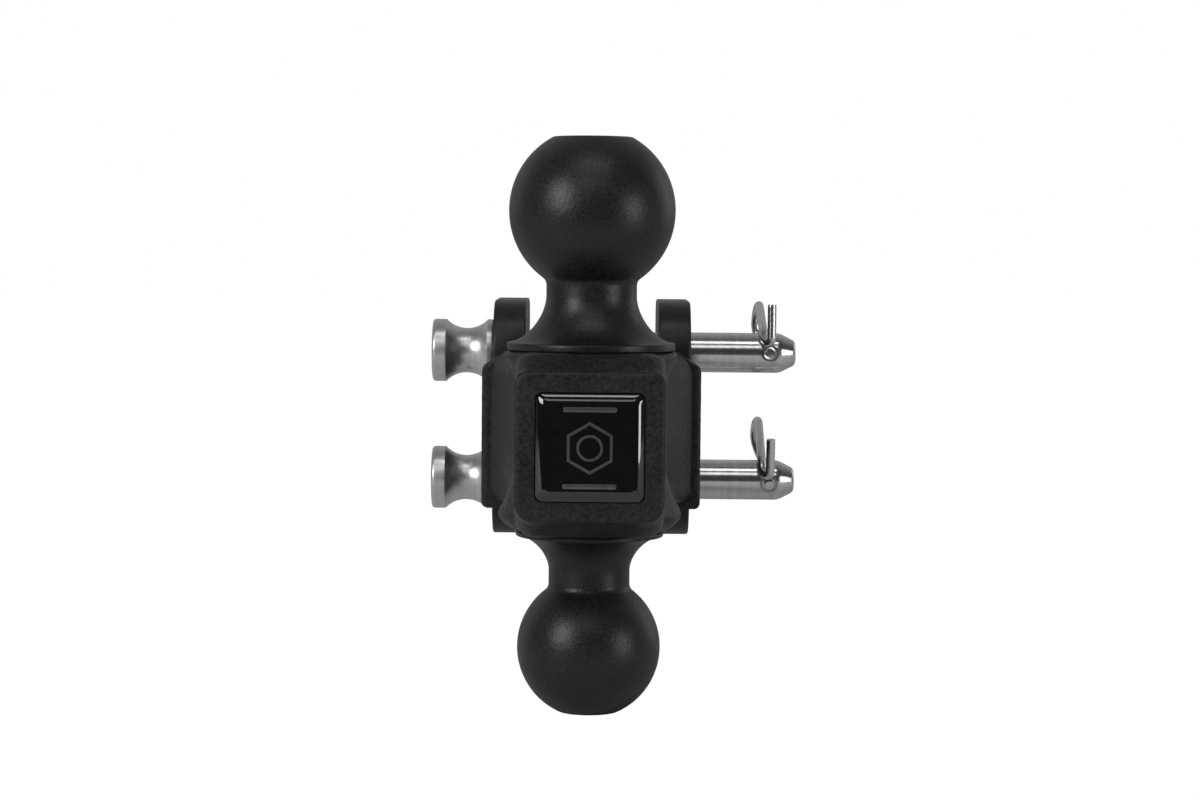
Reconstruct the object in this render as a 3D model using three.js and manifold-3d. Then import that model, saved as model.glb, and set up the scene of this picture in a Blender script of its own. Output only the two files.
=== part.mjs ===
// Two-ball trailer hitch attachment for a drop bar.
//
// A forged centre block carries a large coupler ball above and a small one below. A back plate
// behind the block holds two cheeks, which form a channel that slides over a drop bar. Two
// cross pins with spool knobs lock the cheeks to the bar, and a spring clip keeps each pin in.
//
// Frame: millimetres, origin at the centre of the back plate's bar-bearing face, midway between
// the two pins. +Z points up to the large ball, +Y rearwards along the channel, +X along the
// pins from their knobs to their clips.

import * as THREE from 'three';
import { mergeVertices } from 'three/addons/utils/BufferGeometryUtils.js';
import Module from 'manifold-3d';

const wasm = await Module();
wasm.setup();

// ---------------------------------------------------------------- driving dimensions

const INCH = 25.4;
const GAP = 0.3; // clearance between pieces that bear on each other

// Balls: nominal coupler sizes, with a neck, a flared foot and a spigot that enters the block.
const BALL_AXIS_Y = -91;
const LARGE_BALL = {
  radius: (2.3125 * INCH) / 2, centre: 80.3, flat: 25.9,
  neckRadius: 16, neckBase: 50, footRadius: 29.7, footFace: 33.9, footBase: 31.5,
  spigotRadius: 12.7, spigotLength: 20,
};
const SMALL_BALL = {
  radius: INCH, centre: 74.3, flat: 23,
  neckRadius: 14.4, neckBase: 46.5, footRadius: 26.2, footFace: 34.6, footBase: 33.2,
  spigotRadius: 11.1, spigotLength: 18,
};
const FLARE_POWER = 1.7; // superellipse power of the flare between foot and neck

// Centre block: a square boss in front, hollow flutes at the sides, pads under both balls.
const BLOCK = {
  front: -136, rear: -9.8, bossHalf: 25.6, bossEnd: -122, rearHalf: 39.3, flutePower: 4.5,
  topRise: 15, bottomRise: 20, topFall: 49, padTop: 31.2, padBottom: 32.9,
  rearTop: 27.6, rearBottom: 30.6, edgeChamfer: 1,
};
const BLOCK_CORNER = {
  top: { boss: 4, rear: 10.5 },
  bottom: { boss: 6.5, rear: 4.5 },
};
// Each pad, from its top down: a sloped shoulder, an upright rim, and an undercut into a waist.
// "Out" is measured from the ball's foot, "drop" from the pad's top.
const UPPER_PAD = {
  face: BLOCK.padTop, slopeOut: 0.8, slopeDrop: 0.8, rimOut: 1.2, rimDrop: 1.6, rimHeight: 1.6,
  waistRadius: 25.3, waistHeight: 15,
};
const LOWER_PAD = {
  face: BLOCK.padBottom, slopeOut: 4.4, slopeDrop: 2.7, rimOut: 6.8, rimDrop: 5.5, rimHeight: 1.8,
  waistRadius: 25.5, waistHeight: 9.2,
};

// Back plate and cheeks.
const PLATE = {
  half: 42.2, thickness: 9.5, bottom: -33.5, sideTop: 21, shoulderHalf: 31, top: 28.4, corner: 2,
};
const BAR_WIDTH = 2 * INCH;
const CHANNEL_HALF = BAR_WIDTH / 2 + GAP;
const CHEEK = { thickness: INCH / 2, half: 46, frontCorner: 20, rearCorner: 9 };
const CHEEK_OUTER = CHANNEL_HALF + CHEEK.thickness;
const SEAT_DEPTH = 1.5; // grooves in the plate's rear face that the cheeks' front edges stand in
const CHEEK_FRONT = GAP - SEAT_DEPTH;
const CHEEK_REAR = GAP + 2.5 * INCH;
const WELD = { leg: 3.3, bulge: 0.7, top: 19, bottom: -24 };

// Cross pins, with a spool knob at one end and a clip hole near the other.
const PIN_RADIUS = (0.625 * INCH) / 2;
const PIN_BORE_RADIUS = PIN_RADIUS + 0.4;
const PIN_Z = INCH;
const PIN_Y = 1.25 * INCH;
const KNOB = {
  radius: 12.4, length: 24.7, waistRadius: 8.85, grooveHalf: 8.2, grooveCentre: 11.1, edge: 0.8,
};
const PIN_TIP = { end: 80.9, chamferLength: 6.4, endRadius: 4.6, edge: 1.2 };
const CLIP_HOLE = { x: 70.8, radius: 2.6 };

// Spring clips, bent from round wire. Angles are seen along the pin. The bow's rear strand stands
// rearLead towards the knob from the leg, and the stretch that lies over the pin stands lead.
const CLIP = {
  wireRadius: 1.75, legFront: -9.2, bowY: 24, bowRadius: 9.15, lead: 3.0, rearLead: 3.9,
  cradleGap: 0.25, cradleEnd: 135, tipY: -12.2, tipLow: 6.7, tipTop: 19.6, steps: 52,
};
const LOWER_PIN_SPIN = 9.5; // degrees that the lower pin stands turned in its bores

// Badge: a thin backing plate and a domed cover with a raised ring, in a pocket of the boss.
const BADGE = { half: 18.3, corner: 2.5, plate: 1, dome: 3.1, pocketDepth: 2.3, pocketGap: 0.4 };
const DOME_CREST = { upright: 0.45, edgeInset: 0.5, inset: 11, power: 0.28, minCorner: 0.5 };
const BADGE_RING = { outer: 9, inner: 7.6, height: 0.7 };

// Facets of round surfaces.
const BALL_SEGMENTS = 36;
const PIN_SEGMENTS = 28;
const WIRE_SEGMENTS = 8;
const ARC_STEPS = 6;
const BADGE_ARC_STEPS = 3;
const BLOCK_STATIONS = 22;
const CUT_PAST = 5; // how far a cutter runs past the face that it opens

// ---------------------------------------------------------------- materials

const finish = (color, roughness, metalness) =>
  new THREE.MeshStandardMaterial({ color, roughness, metalness });
const POWDER_COAT = finish(0x1b1b1c, 0.5, 0.1);
const CAST_COAT = finish(0x202021, 0.6, 0.1);
const STAINLESS = finish(0xb9bbbd, 0.22, 1);
const SPRING_WIRE = finish(0xa6a9ab, 0.3, 1);
const BADGE_BLACK = finish(0x08080a, 0.06, 0);
const BADGE_METAL = finish(0x9a9c9e, 0.3, 1);

// ---------------------------------------------------------------- solids

/** A three.js geometry as a manifold solid. */
function toSolid(geometry) {
  const bare = geometry.clone();
  bare.deleteAttribute('normal');
  bare.deleteAttribute('uv');
  const merged = mergeVertices(bare, 1e-4);
  const vertProperties = new Float32Array(merged.attributes.position.array);
  const triVerts = new Uint32Array(merged.index.array);
  return new wasm.Manifold(new wasm.Mesh({ numProp: 3, vertProperties, triVerts }));
}

/** A manifold solid as a three.js geometry. */
function toGeometry(solid) {
  const { vertProperties, triVerts } = solid.getMesh();
  const geometry = new THREE.BufferGeometry();
  geometry.setAttribute('position', new THREE.BufferAttribute(new Float32Array(vertProperties), 3));
  geometry.setIndex(new THREE.BufferAttribute(new Uint32Array(triVerts), 1));
  geometry.computeVertexNormals();
  return geometry;
}

/** `body` with each of `tools` joined on. */
const join = (body, ...tools) =>
  toGeometry(tools.reduce((sum, tool) => sum.add(toSolid(tool)), toSolid(body)));

/** `body` with each of `tools` cut away. */
const cut = (body, ...tools) =>
  toGeometry(tools.reduce((rest, tool) => rest.subtract(toSolid(tool)), toSolid(body)));

/** A body turned about Z from an outline of [radius, height] pairs that runs upwards from the axis. */
function turned(outline, segments) {
  const points = outline.map(([radius, height]) => new THREE.Vector2(radius, height));
  return new THREE.LatheGeometry(points, segments).rotateX(Math.PI / 2);
}

/** Points on a circular arc as [x, y] pairs, between two angles in radians. */
function arc(cx, cy, radius, from, to, steps = ARC_STEPS) {
  return Array.from({ length: steps + 1 }, (_, i) => {
    const angle = from + ((to - from) * i) / steps;
    return [cx + radius * Math.cos(angle), cy + radius * Math.sin(angle)];
  });
}

/** A closed flat shape through [x, y] pairs. */
const outlineShape = (pairs) => new THREE.Shape(pairs.map(([x, y]) => new THREE.Vector2(x, y)));

/** A flat shape pushed `depth` along its own Z, with straight sides. */
const slab = (shape, depth) => new THREE.ExtrudeGeometry(shape, { depth, bevelEnabled: false, steps: 1 });

/** The outline of a rectangle whose four corners have their own radii, as [x, z] pairs. */
function roundedOutline({ halfWidth, top, bottom, topRadius, bottomRadius }, steps = ARC_STEPS) {
  const corners = [
    [halfWidth - topRadius, top - topRadius, topRadius, 0],
    [-halfWidth + topRadius, top - topRadius, topRadius, 1],
    [-halfWidth + bottomRadius, bottom + bottomRadius, bottomRadius, 2],
    [halfWidth - bottomRadius, bottom + bottomRadius, bottomRadius, 3],
  ];
  return corners.flatMap(([cx, cz, r, quarter]) =>
    arc(cx, cz, r, (quarter * Math.PI) / 2, ((quarter + 1) * Math.PI) / 2, steps));
}

/** A closed skin through equal outlines of [x, z] pairs, each at its own y, from front to rear. */
function loft(stations) {
  const count = stations[0].outline.length;
  const positions = stations.flatMap(({ y, outline }) => outline.flatMap(([x, z]) => [x, y, z]));
  const triangles = [];
  for (let ring = 0; ring < stations.length - 1; ring += 1) {
    for (let i = 0; i < count; i += 1) {
      const a = ring * count + i;
      const b = ring * count + ((i + 1) % count);
      triangles.push(a, a + count, b, b, a + count, b + count);
    }
  }
  const capEnd = (ring, forward) => {
    const { y, outline } = stations[ring];
    const middle = outline.reduce(([sx, sz], [x, z]) => [sx + x / count, sz + z / count], [0, 0]);
    const hub = positions.length / 3;
    positions.push(middle[0], y, middle[1]);
    for (let i = 0; i < count; i += 1) {
      const a = ring * count + i;
      const b = ring * count + ((i + 1) % count);
      triangles.push(hub, forward ? a : b, forward ? b : a);
    }
  };
  capEnd(0, true);
  capEnd(stations.length - 1, false);
  const geometry = new THREE.BufferGeometry();
  geometry.setAttribute('position', new THREE.Float32BufferAttribute(positions, 3));
  geometry.setIndex(triangles);
  return geometry;
}

const mix = THREE.MathUtils.lerp;
const ease = THREE.MathUtils.smoothstep;

// ---------------------------------------------------------------- balls

/** A ball with its neck, flared foot and spigot, standing up along +Z from the block. */
function ballGeometry(ball) {
  const flareHeight = ball.neckBase - ball.footFace;
  const flare = Array.from({ length: ARC_STEPS + 1 }, (_, i) => {
    const drop = 1 - i / ARC_STEPS;
    const reach = (1 - drop ** FLARE_POWER) ** (1 / FLARE_POWER);
    return [mix(ball.footRadius, ball.neckRadius, reach), ball.neckBase - drop * flareHeight];
  });
  const neckAngle = -Math.acos(ball.neckRadius / ball.radius);
  const flatAngle = Math.asin(ball.flat / ball.radius);
  return turned([
    [0, ball.footBase - ball.spigotLength],
    [ball.spigotRadius, ball.footBase - ball.spigotLength],
    [ball.spigotRadius, ball.footBase],
    [ball.footRadius, ball.footBase],
    ...flare,
    ...arc(0, ball.centre, ball.radius, neckAngle, flatAngle, 2 * ARC_STEPS),
    [0, ball.centre + ball.flat],
  ], BALL_SEGMENTS);
}

// ---------------------------------------------------------------- centre block

/** The block's outline at station y: a square boss in front that spreads to the wide rear. */
function blockStation(y, inset = 0) {
  const back = THREE.MathUtils.clamp((y - BLOCK.bossEnd) / (BLOCK.rear - BLOCK.bossEnd), 0, 1);
  const fall = ease(y, BLOCK.rear - BLOCK.topFall, BLOCK.rear);
  const front = mix(BLOCK.bossHalf, BLOCK.padTop, ease(y, BLOCK.front, BLOCK.front + BLOCK.topRise));
  const under = mix(BLOCK.bossHalf, BLOCK.padBottom, ease(y, BLOCK.front, BLOCK.front + BLOCK.bottomRise));
  const outline = roundedOutline({
    halfWidth: mix(BLOCK.bossHalf, BLOCK.rearHalf, back ** BLOCK.flutePower) - inset,
    top: mix(front, BLOCK.rearTop, fall) - inset,
    bottom: -mix(under, BLOCK.rearBottom, fall) + inset,
    topRadius: mix(BLOCK_CORNER.top.boss, BLOCK_CORNER.top.rear, back),
    bottomRadius: mix(BLOCK_CORNER.bottom.boss, BLOCK_CORNER.bottom.rear, back),
  });
  return { y, outline };
}

/** The round pad under a ball's foot. */
function padGeometry(footRadius, pad) {
  return turned([
    [0, 0],
    [pad.waistRadius, 0],
    [pad.waistRadius, pad.waistHeight],
    [footRadius + pad.rimOut, pad.face - pad.rimDrop - pad.rimHeight],
    [footRadius + pad.rimOut, pad.face - pad.rimDrop],
    [footRadius + pad.slopeOut, pad.face - pad.slopeDrop],
    [footRadius, pad.face],
    [0, pad.face],
  ], BALL_SEGMENTS).translate(0, BALL_AXIS_Y, 0);
}

/** The bore in the block that a ball's spigot enters. */
function spigotBore(ball, face) {
  const radius = ball.spigotRadius + GAP;
  const depth = ball.spigotLength + 1;
  const bore = new THREE.CylinderGeometry(radius, radius, depth, BALL_SEGMENTS);
  return bore.rotateX(Math.PI / 2).translate(0, BALL_AXIS_Y, face + 1 - depth / 2);
}

function centerBlockGeometry() {
  const { front, rear, edgeChamfer } = BLOCK;
  const first = front + edgeChamfer;
  const stations = [blockStation(front, edgeChamfer)];
  for (let i = 0; i <= BLOCK_STATIONS; i += 1) {
    stations.push(blockStation(mix(first, rear, i / BLOCK_STATIONS)));
  }
  const body = join(
    loft(stations),
    padGeometry(LARGE_BALL.footRadius, UPPER_PAD),
    padGeometry(SMALL_BALL.footRadius, LOWER_PAD).rotateY(Math.PI),
  );
  const pocketHalf = BADGE.half + BADGE.pocketGap;
  const pocket = slab(badgeShape(pocketHalf), BADGE.pocketDepth + CUT_PAST)
    .rotateX(Math.PI / 2)
    .translate(0, front + BADGE.pocketDepth, 0);
  const upperBore = spigotBore(LARGE_BALL, BLOCK.padTop);
  const lowerBore = spigotBore(SMALL_BALL, BLOCK.padBottom).rotateY(Math.PI);
  return cut(body, upperBore, lowerBore, pocket);
}

// ---------------------------------------------------------------- back plate, cheeks and welds

/** The plate behind the block. Between its two seats stands the face that bears on the bar. */
function backPlateGeometry() {
  const { half, thickness, bottom, sideTop, shoulderHalf, top, corner } = PLATE;
  const shape = outlineShape([
    ...arc(-half + corner, bottom + corner, corner, Math.PI, 1.5 * Math.PI, 3),
    ...arc(half - corner, bottom + corner, corner, 1.5 * Math.PI, 2 * Math.PI, 3),
    [half, sideTop],
    [shoulderHalf, top],
    [-shoulderHalf, top],
    [-half, sideTop],
  ]);
  const seats = [-1, 1].map((side) => {
    const groove = new THREE.BoxGeometry(CHEEK.thickness + 2 * GAP, 2 * SEAT_DEPTH, 2 * CHEEK.half);
    return groove.translate((side * (CHANNEL_HALF + CHEEK_OUTER)) / 2, 0, 0);
  });
  return cut(slab(shape, thickness).rotateX(Math.PI / 2), ...seats);
}

/**
 * A cheek with both pin bores, standing from x = 0 to its thickness. Its inner face, at x = innerX,
 * is chamfered along the front edge, so that it ends where the plate's bearing face begins.
 */
function cheekGeometry(innerX) {
  const { thickness, half, frontCorner, rearCorner } = CHEEK;
  const frontY = CHEEK_FRONT + frontCorner;
  const rearY = CHEEK_REAR - rearCorner;
  const shape = outlineShape([
    ...arc(frontY, -half + frontCorner, frontCorner, Math.PI, 1.5 * Math.PI),
    ...arc(rearY, -half + rearCorner, rearCorner, 1.5 * Math.PI, 2 * Math.PI),
    ...arc(rearY, half - rearCorner, rearCorner, 0, Math.PI / 2),
    ...arc(frontY, half - frontCorner, frontCorner, Math.PI / 2, Math.PI),
  ]);
  for (const z of [-PIN_Z, PIN_Z]) {
    shape.holes.push(new THREE.Path().absarc(PIN_Y, z, PIN_BORE_RADIUS, 0, 2 * Math.PI, true));
  }
  const options = { depth: thickness, bevelEnabled: false, curveSegments: PIN_SEGMENTS };
  const sheet = new THREE.ExtrudeGeometry(shape, options).rotateX(Math.PI / 2).rotateZ(Math.PI / 2);
  const inwards = innerX > 0 ? -1 : 1;
  const chamfer = slab(outlineShape([
    [innerX - inwards * CUT_PAST, GAP + CUT_PAST],
    [innerX - inwards * CUT_PAST, GAP - CUT_PAST],
    [innerX + inwards * CUT_PAST, GAP - CUT_PAST],
  ]), 2 * half).translate(0, 0, -half);
  return cut(sheet, chamfer);
}

/** A fillet bead from z = low to high, between the right cheek's outer face and the back plate. */
function weldGeometry(low, high) {
  const { leg, bulge } = WELD;
  const shape = outlineShape([[0, 0], [leg, 0], [leg / 2 + bulge, leg / 2 + bulge], [0, leg]]);
  return slab(shape, high - low).translate(CHEEK_OUTER + GAP, GAP, low);
}

// ---------------------------------------------------------------- pins and clips

/** A cross pin along +X, in its own frame: on the axis of its bores, with the clip hole along Y. */
function pinGeometry() {
  const face = -CHEEK_OUTER - GAP;
  const grooveX = face - KNOB.grooveCentre;
  const grooveDepth = KNOB.radius - KNOB.waistRadius;
  const grooveRadius = (KNOB.grooveHalf ** 2 + grooveDepth ** 2) / (2 * grooveDepth);
  const sweep = Math.asin(KNOB.grooveHalf / grooveRadius);
  const groove = arc(grooveX, 0, grooveRadius, -Math.PI / 2 - sweep, -Math.PI / 2 + sweep, 8)
    .map(([x, lift]) => [KNOB.waistRadius + grooveRadius + lift, x]);
  const body = turned([
    [0, face - KNOB.length],
    [KNOB.radius - KNOB.edge, face - KNOB.length],
    [KNOB.radius, face - KNOB.length + KNOB.edge],
    ...groove,
    [KNOB.radius, face - KNOB.edge],
    [KNOB.radius - KNOB.edge, face],
    [PIN_RADIUS, face],
    [PIN_RADIUS, PIN_TIP.end - PIN_TIP.chamferLength],
    [PIN_TIP.endRadius, PIN_TIP.end - PIN_TIP.edge],
    [PIN_TIP.endRadius - PIN_TIP.edge, PIN_TIP.end],
    [0, PIN_TIP.end],
  ], PIN_SEGMENTS).rotateY(Math.PI / 2);
  const hole = new THREE.CylinderGeometry(CLIP_HOLE.radius, CLIP_HOLE.radius, 4 * PIN_RADIUS, 16);
  return cut(body, hole.translate(CLIP_HOLE.x, 0, 0));
}

/** The clip's centre line, in its pin's frame: leg, bow, tangent to the cradle, and upturned tip. */
function clipPath() {
  const { legFront, bowY, bowRadius, lead, rearLead, wireRadius, cradleGap, cradleEnd } = CLIP;
  const cradleRadius = PIN_RADIUS + wireRadius + cradleGap;
  const reach = Math.hypot(bowY, bowRadius);
  const leave = Math.atan2(bowRadius, bowY) + Math.acos((cradleRadius - bowRadius) / reach);
  const at = (x, [y, z]) => new THREE.Vector3(CLIP_HOLE.x + x, y, z);
  const leg = [legFront, legFront / 2, 0, bowY / 3, (2 * bowY) / 3].map((y) => at(0, [y, 0]));
  const bowSteps = 10;
  const bow = arc(bowY, bowRadius, bowRadius, -Math.PI / 2, leave, bowSteps).map((point, i) => {
    const share = i / bowSteps;
    return at(-mix(rearLead * ease(share, 0, 0.5), lead, ease(share, 0.5, 1)), point);
  });
  const cradle = arc(0, 0, cradleRadius, leave, THREE.MathUtils.degToRad(cradleEnd), 4)
    .map((point) => at(-lead, point));
  const { tipY, tipLow, tipTop } = CLIP;
  const last = cradle[cradle.length - 1];
  const turnLow = at(-lead / 2, [(last.y + tipY) / 2, tipLow - lead / 2]);
  const tip = [tipLow, (tipLow + tipTop) / 2, tipTop].map((z) => at(0, [tipY, z]));
  return new THREE.CatmullRomCurve3([...leg, ...bow, ...cradle, turnLow, ...tip]);
}

function clipGeometry() {
  const lastAngle = 2 * Math.PI * (1 - 1 / WIRE_SEGMENTS);
  const section = outlineShape(arc(0, 0, CLIP.wireRadius, 0, lastAngle, WIRE_SEGMENTS - 1));
  const options = { steps: CLIP.steps, bevelEnabled: false, extrudePath: clipPath() };
  return new THREE.ExtrudeGeometry(section, options);
}

// ---------------------------------------------------------------- badge

/** The outline of a square with rounded corners, `half` from its middle to each side. */
function squareOutline(half, radius) {
  const sides = { halfWidth: half, top: half, bottom: -half };
  return roundedOutline({ ...sides, topRadius: radius, bottomRadius: radius }, BADGE_ARC_STEPS);
}

const badgeShape = (half) => outlineShape(squareOutline(half, BADGE.corner));

/** The domed cover: an upright side, then a face that rises steeply at first and levels off. */
function badgeDomeGeometry(rearY) {
  const { upright, edgeInset, inset, power, minCorner } = DOME_CREST;
  const steps = 4;
  const section = [[0, 0], [0, upright]];
  for (let i = 0; i <= steps; i += 1) {
    const inwards = mix(edgeInset, inset, (i / steps) ** 2);
    section.push([inwards, mix(upright, 1, (inwards / inset) ** power)]);
  }
  const stations = section.map(([inwards, rise]) => {
    const radius = Math.max(BADGE.corner - inwards, minCorner);
    return { y: rearY - rise * BADGE.dome, outline: squareOutline(BADGE.half - inwards, radius) };
  });
  return loft(stations.reverse());
}

function badgeRingGeometry() {
  const shape = new THREE.Shape().absarc(0, 0, BADGE_RING.outer, 0, 2 * Math.PI, false);
  shape.holes.push(new THREE.Path().absarc(0, 0, BADGE_RING.inner, 0, 2 * Math.PI, true));
  const options = { depth: BADGE_RING.height, bevelEnabled: false, curveSegments: PIN_SEGMENTS };
  return new THREE.ExtrudeGeometry(shape, options).rotateX(Math.PI / 2);
}

// ---------------------------------------------------------------- assembly

const group = new THREE.Group();

/** A named piece, added to `parent`. */
function addPiece(name, geometry, material, parent = group) {
  const piece = new THREE.Mesh(geometry, material);
  piece.name = name;
  parent.add(piece);
  return piece;
}

addPiece('center_block', centerBlockGeometry(), CAST_COAT);
addPiece('back_plate', backPlateGeometry(), CAST_COAT);
addPiece('large_ball', ballGeometry(LARGE_BALL), POWDER_COAT).position.y = BALL_AXIS_Y;
const smallBall = addPiece('small_ball', ballGeometry(SMALL_BALL), POWDER_COAT);
smallBall.position.y = BALL_AXIS_Y;
smallBall.rotation.y = Math.PI;

addPiece('right_cheek', cheekGeometry(0), POWDER_COAT).position.x = CHANNEL_HALF;
addPiece('left_cheek', cheekGeometry(CHEEK.thickness), POWDER_COAT).position.x = -CHEEK_OUTER;
addPiece('right_cheek_weld', weldGeometry(WELD.bottom, WELD.top), POWDER_COAT);
addPiece('left_cheek_weld', weldGeometry(-WELD.top, -WELD.bottom).rotateY(Math.PI), POWDER_COAT);

const badgeBack = BLOCK.front + BADGE.pocketDepth - GAP;
const badgePlate = slab(badgeShape(BADGE.half), BADGE.plate).rotateX(Math.PI / 2);
const domeBack = badgeBack - BADGE.plate - GAP;
addPiece('badge_plate', badgePlate, BADGE_METAL).position.y = badgeBack;
addPiece('badge_dome', badgeDomeGeometry(domeBack), BADGE_BLACK);
addPiece('badge_ring', badgeRingGeometry(), BADGE_METAL).position.y = domeBack - BADGE.dome - GAP;

for (const [name, z, spin] of [['upper', PIN_Z, 0], ['lower', -PIN_Z, LOWER_PIN_SPIN]]) {
  const line = new THREE.Group();
  line.position.set(0, PIN_Y, z);
  line.rotation.x = THREE.MathUtils.degToRad(spin);
  addPiece(`${name}_pin`, pinGeometry(), STAINLESS, line);
  addPiece(`${name}_clip`, clipGeometry(), SPRING_WIRE, line);
  group.add(line);
}

export default group;
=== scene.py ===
"""Looks of a two-ball trailer hitch attachment, built around its CAD model.

Every length is in metres, in the CAD model's frame: +Z points up to the large ball, +Y rearwards
along the channel, and +X along the cross pins from their knobs to their clips.
"""
import logging
import math
from dataclasses import dataclass
from enum import Enum

import bmesh
import bpy
from mathutils import Matrix, Vector, noise


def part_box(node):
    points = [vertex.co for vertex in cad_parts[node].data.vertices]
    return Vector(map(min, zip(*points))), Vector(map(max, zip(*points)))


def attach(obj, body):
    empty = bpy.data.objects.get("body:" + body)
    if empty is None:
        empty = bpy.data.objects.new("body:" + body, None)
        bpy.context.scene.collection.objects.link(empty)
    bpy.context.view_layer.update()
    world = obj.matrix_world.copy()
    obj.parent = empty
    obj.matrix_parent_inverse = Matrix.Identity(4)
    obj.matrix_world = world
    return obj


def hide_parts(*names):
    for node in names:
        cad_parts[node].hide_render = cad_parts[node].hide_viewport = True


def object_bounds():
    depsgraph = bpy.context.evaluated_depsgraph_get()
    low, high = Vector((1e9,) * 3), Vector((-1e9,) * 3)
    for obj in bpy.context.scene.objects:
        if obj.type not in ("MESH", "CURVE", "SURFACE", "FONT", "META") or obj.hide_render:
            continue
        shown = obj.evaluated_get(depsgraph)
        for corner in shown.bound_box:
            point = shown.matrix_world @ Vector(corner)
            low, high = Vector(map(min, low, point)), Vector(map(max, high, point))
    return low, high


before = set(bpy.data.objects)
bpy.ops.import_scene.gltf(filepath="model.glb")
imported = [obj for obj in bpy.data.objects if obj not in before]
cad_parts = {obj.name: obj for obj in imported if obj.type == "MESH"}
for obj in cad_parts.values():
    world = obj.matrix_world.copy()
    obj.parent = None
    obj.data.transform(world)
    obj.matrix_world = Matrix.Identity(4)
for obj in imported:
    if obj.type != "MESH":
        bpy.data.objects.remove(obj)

LOG = logging.getLogger("hitch")
CAD_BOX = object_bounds()
MM = 0.001
TURN = 2 * math.pi

Pair = tuple[float, float]
Color = tuple[float, float, float]

# Lighter grey for convex edges: a painted edge highlight, with some wear.
EDGE_HIGHLIGHT_AND_WEAR_GREY: Color = (0.12, 0.12, 0.122)


class Body(Enum):
    """The moving bodies of the CAD model."""

    HITCH = "hitch_body"
    UPPER_PIN = "upper_pin_body"
    LOWER_PIN = "lower_pin_body"
    UPPER_CLIP = "upper_clip_body"
    LOWER_CLIP = "lower_clip_body"


class Slot(Enum):
    """The material slots."""

    CAST = "cast_coat"
    COAT = "powder_coat"
    STAINLESS = "stainless"
    WIRE = "spring_wire"
    BADGE = "badge_black"
    BADGE_METAL = "badge_metal"


# ---------------------------------------------------------------- node helpers


class Tree:
    """Adds and joins nodes in one node tree."""

    def __init__(self, tree: bpy.types.NodeTree) -> None:
        """Starts on an empty tree."""
        self.tree = tree
        self.tree.nodes.clear()

    def node(self, kind: str, inputs: dict | None = None, **settings: object) -> bpy.types.Node:
        """Adds a node.

        Args:
            kind: The node's type.
            inputs: Values or output sockets for its inputs, by name or number.
            settings: The node's own properties.

        Returns:
            The new node.
        """
        made = self.tree.nodes.new(kind)
        for name, value in settings.items():
            setattr(made, name, value)
        for name, value in (inputs or {}).items():
            self.feed(made.inputs[name], value)
        return made

    def feed(self, socket: bpy.types.NodeSocket, value: object) -> None:
        """Links an output socket to an input, or sets the input's own value.

        Args:
            socket: The input.
            value: An output socket, or a plain value.
        """
        if isinstance(value, bpy.types.NodeSocket):
            self.tree.links.new(value, socket)
        else:
            socket.default_value = value

    def math(self, operation: str, a: object, b: object = 0.0) -> bpy.types.NodeSocket:
        """The result of a two-value Math node."""
        return self.node("ShaderNodeMath", {0: a, 1: b}, operation=operation).outputs[0]

    def port(self, name: str, kind: str, is_input: bool = True, value: object = None) -> None:
        """Adds a named socket to a node group's interface.

        Args:
            name: The socket's name.
            kind: The socket's type.
            is_input: Whether it is an input.
            value: Its default value, if it has one.
        """
        side = "INPUT" if is_input else "OUTPUT"
        socket = self.tree.interface.new_socket(name, in_out=side, socket_type=kind)
        if value is not None:
            socket.default_value = value


# ---------------------------------------------------------------- shared shader effects


def coat_grain_group() -> bpy.types.NodeTree:
    """Fine pebbled skin of a coat, speckled by its own grain and by broad uneven patches.

    Returns:
        A group with a Height for bump and a Mottle from 0 to 1.
    """
    t = Tree(bpy.data.node_groups.new("coat_grain", "ShaderNodeTree"))
    t.port("Vector", "NodeSocketVector")
    t.port("Grain Scale", "NodeSocketFloat", value=1800.0)
    t.port("Lump Scale", "NodeSocketFloat", value=300.0)
    t.port("Lump Share", "NodeSocketFloat", value=0.3)
    t.port("Height", "NodeSocketFloat", is_input=False)
    t.port("Mottle", "NodeSocketFloat", is_input=False)
    source = t.node("NodeGroupInput")
    grain = t.node("ShaderNodeTexNoise", {"Vector": source.outputs["Vector"],
                                          "Scale": source.outputs["Grain Scale"],
                                          "Detail": 3.0, "Roughness": 0.55})
    lumps = t.node("ShaderNodeTexNoise", {"Vector": source.outputs["Vector"],
                                          "Scale": source.outputs["Lump Scale"],
                                          "Detail": 2.0, "Roughness": 0.5})
    patches = t.node("ShaderNodeTexNoise", {"Vector": source.outputs["Vector"], "Scale": 45.0,
                                            "Detail": 4.0, "Roughness": 0.6})
    height = t.node("ShaderNodeMix", {"Factor": source.outputs["Lump Share"],
                                      "A": grain.outputs["Fac"], "B": lumps.outputs["Fac"]})
    specks = t.node("ShaderNodeMapRange", {"Value": grain.outputs["Fac"],
                                           "From Min": 0.36, "From Max": 0.66})
    broad = t.node("ShaderNodeMapRange", {"Value": patches.outputs["Fac"],
                                          "From Min": 0.35, "From Max": 0.65})
    mottle = t.node("ShaderNodeMix", {"Factor": 0.35, "A": specks.outputs["Result"],
                                      "B": broad.outputs["Result"]})
    t.node("NodeGroupOutput", {"Height": height.outputs["Result"],
                               "Mottle": mottle.outputs["Result"]})
    return t.tree


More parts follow.
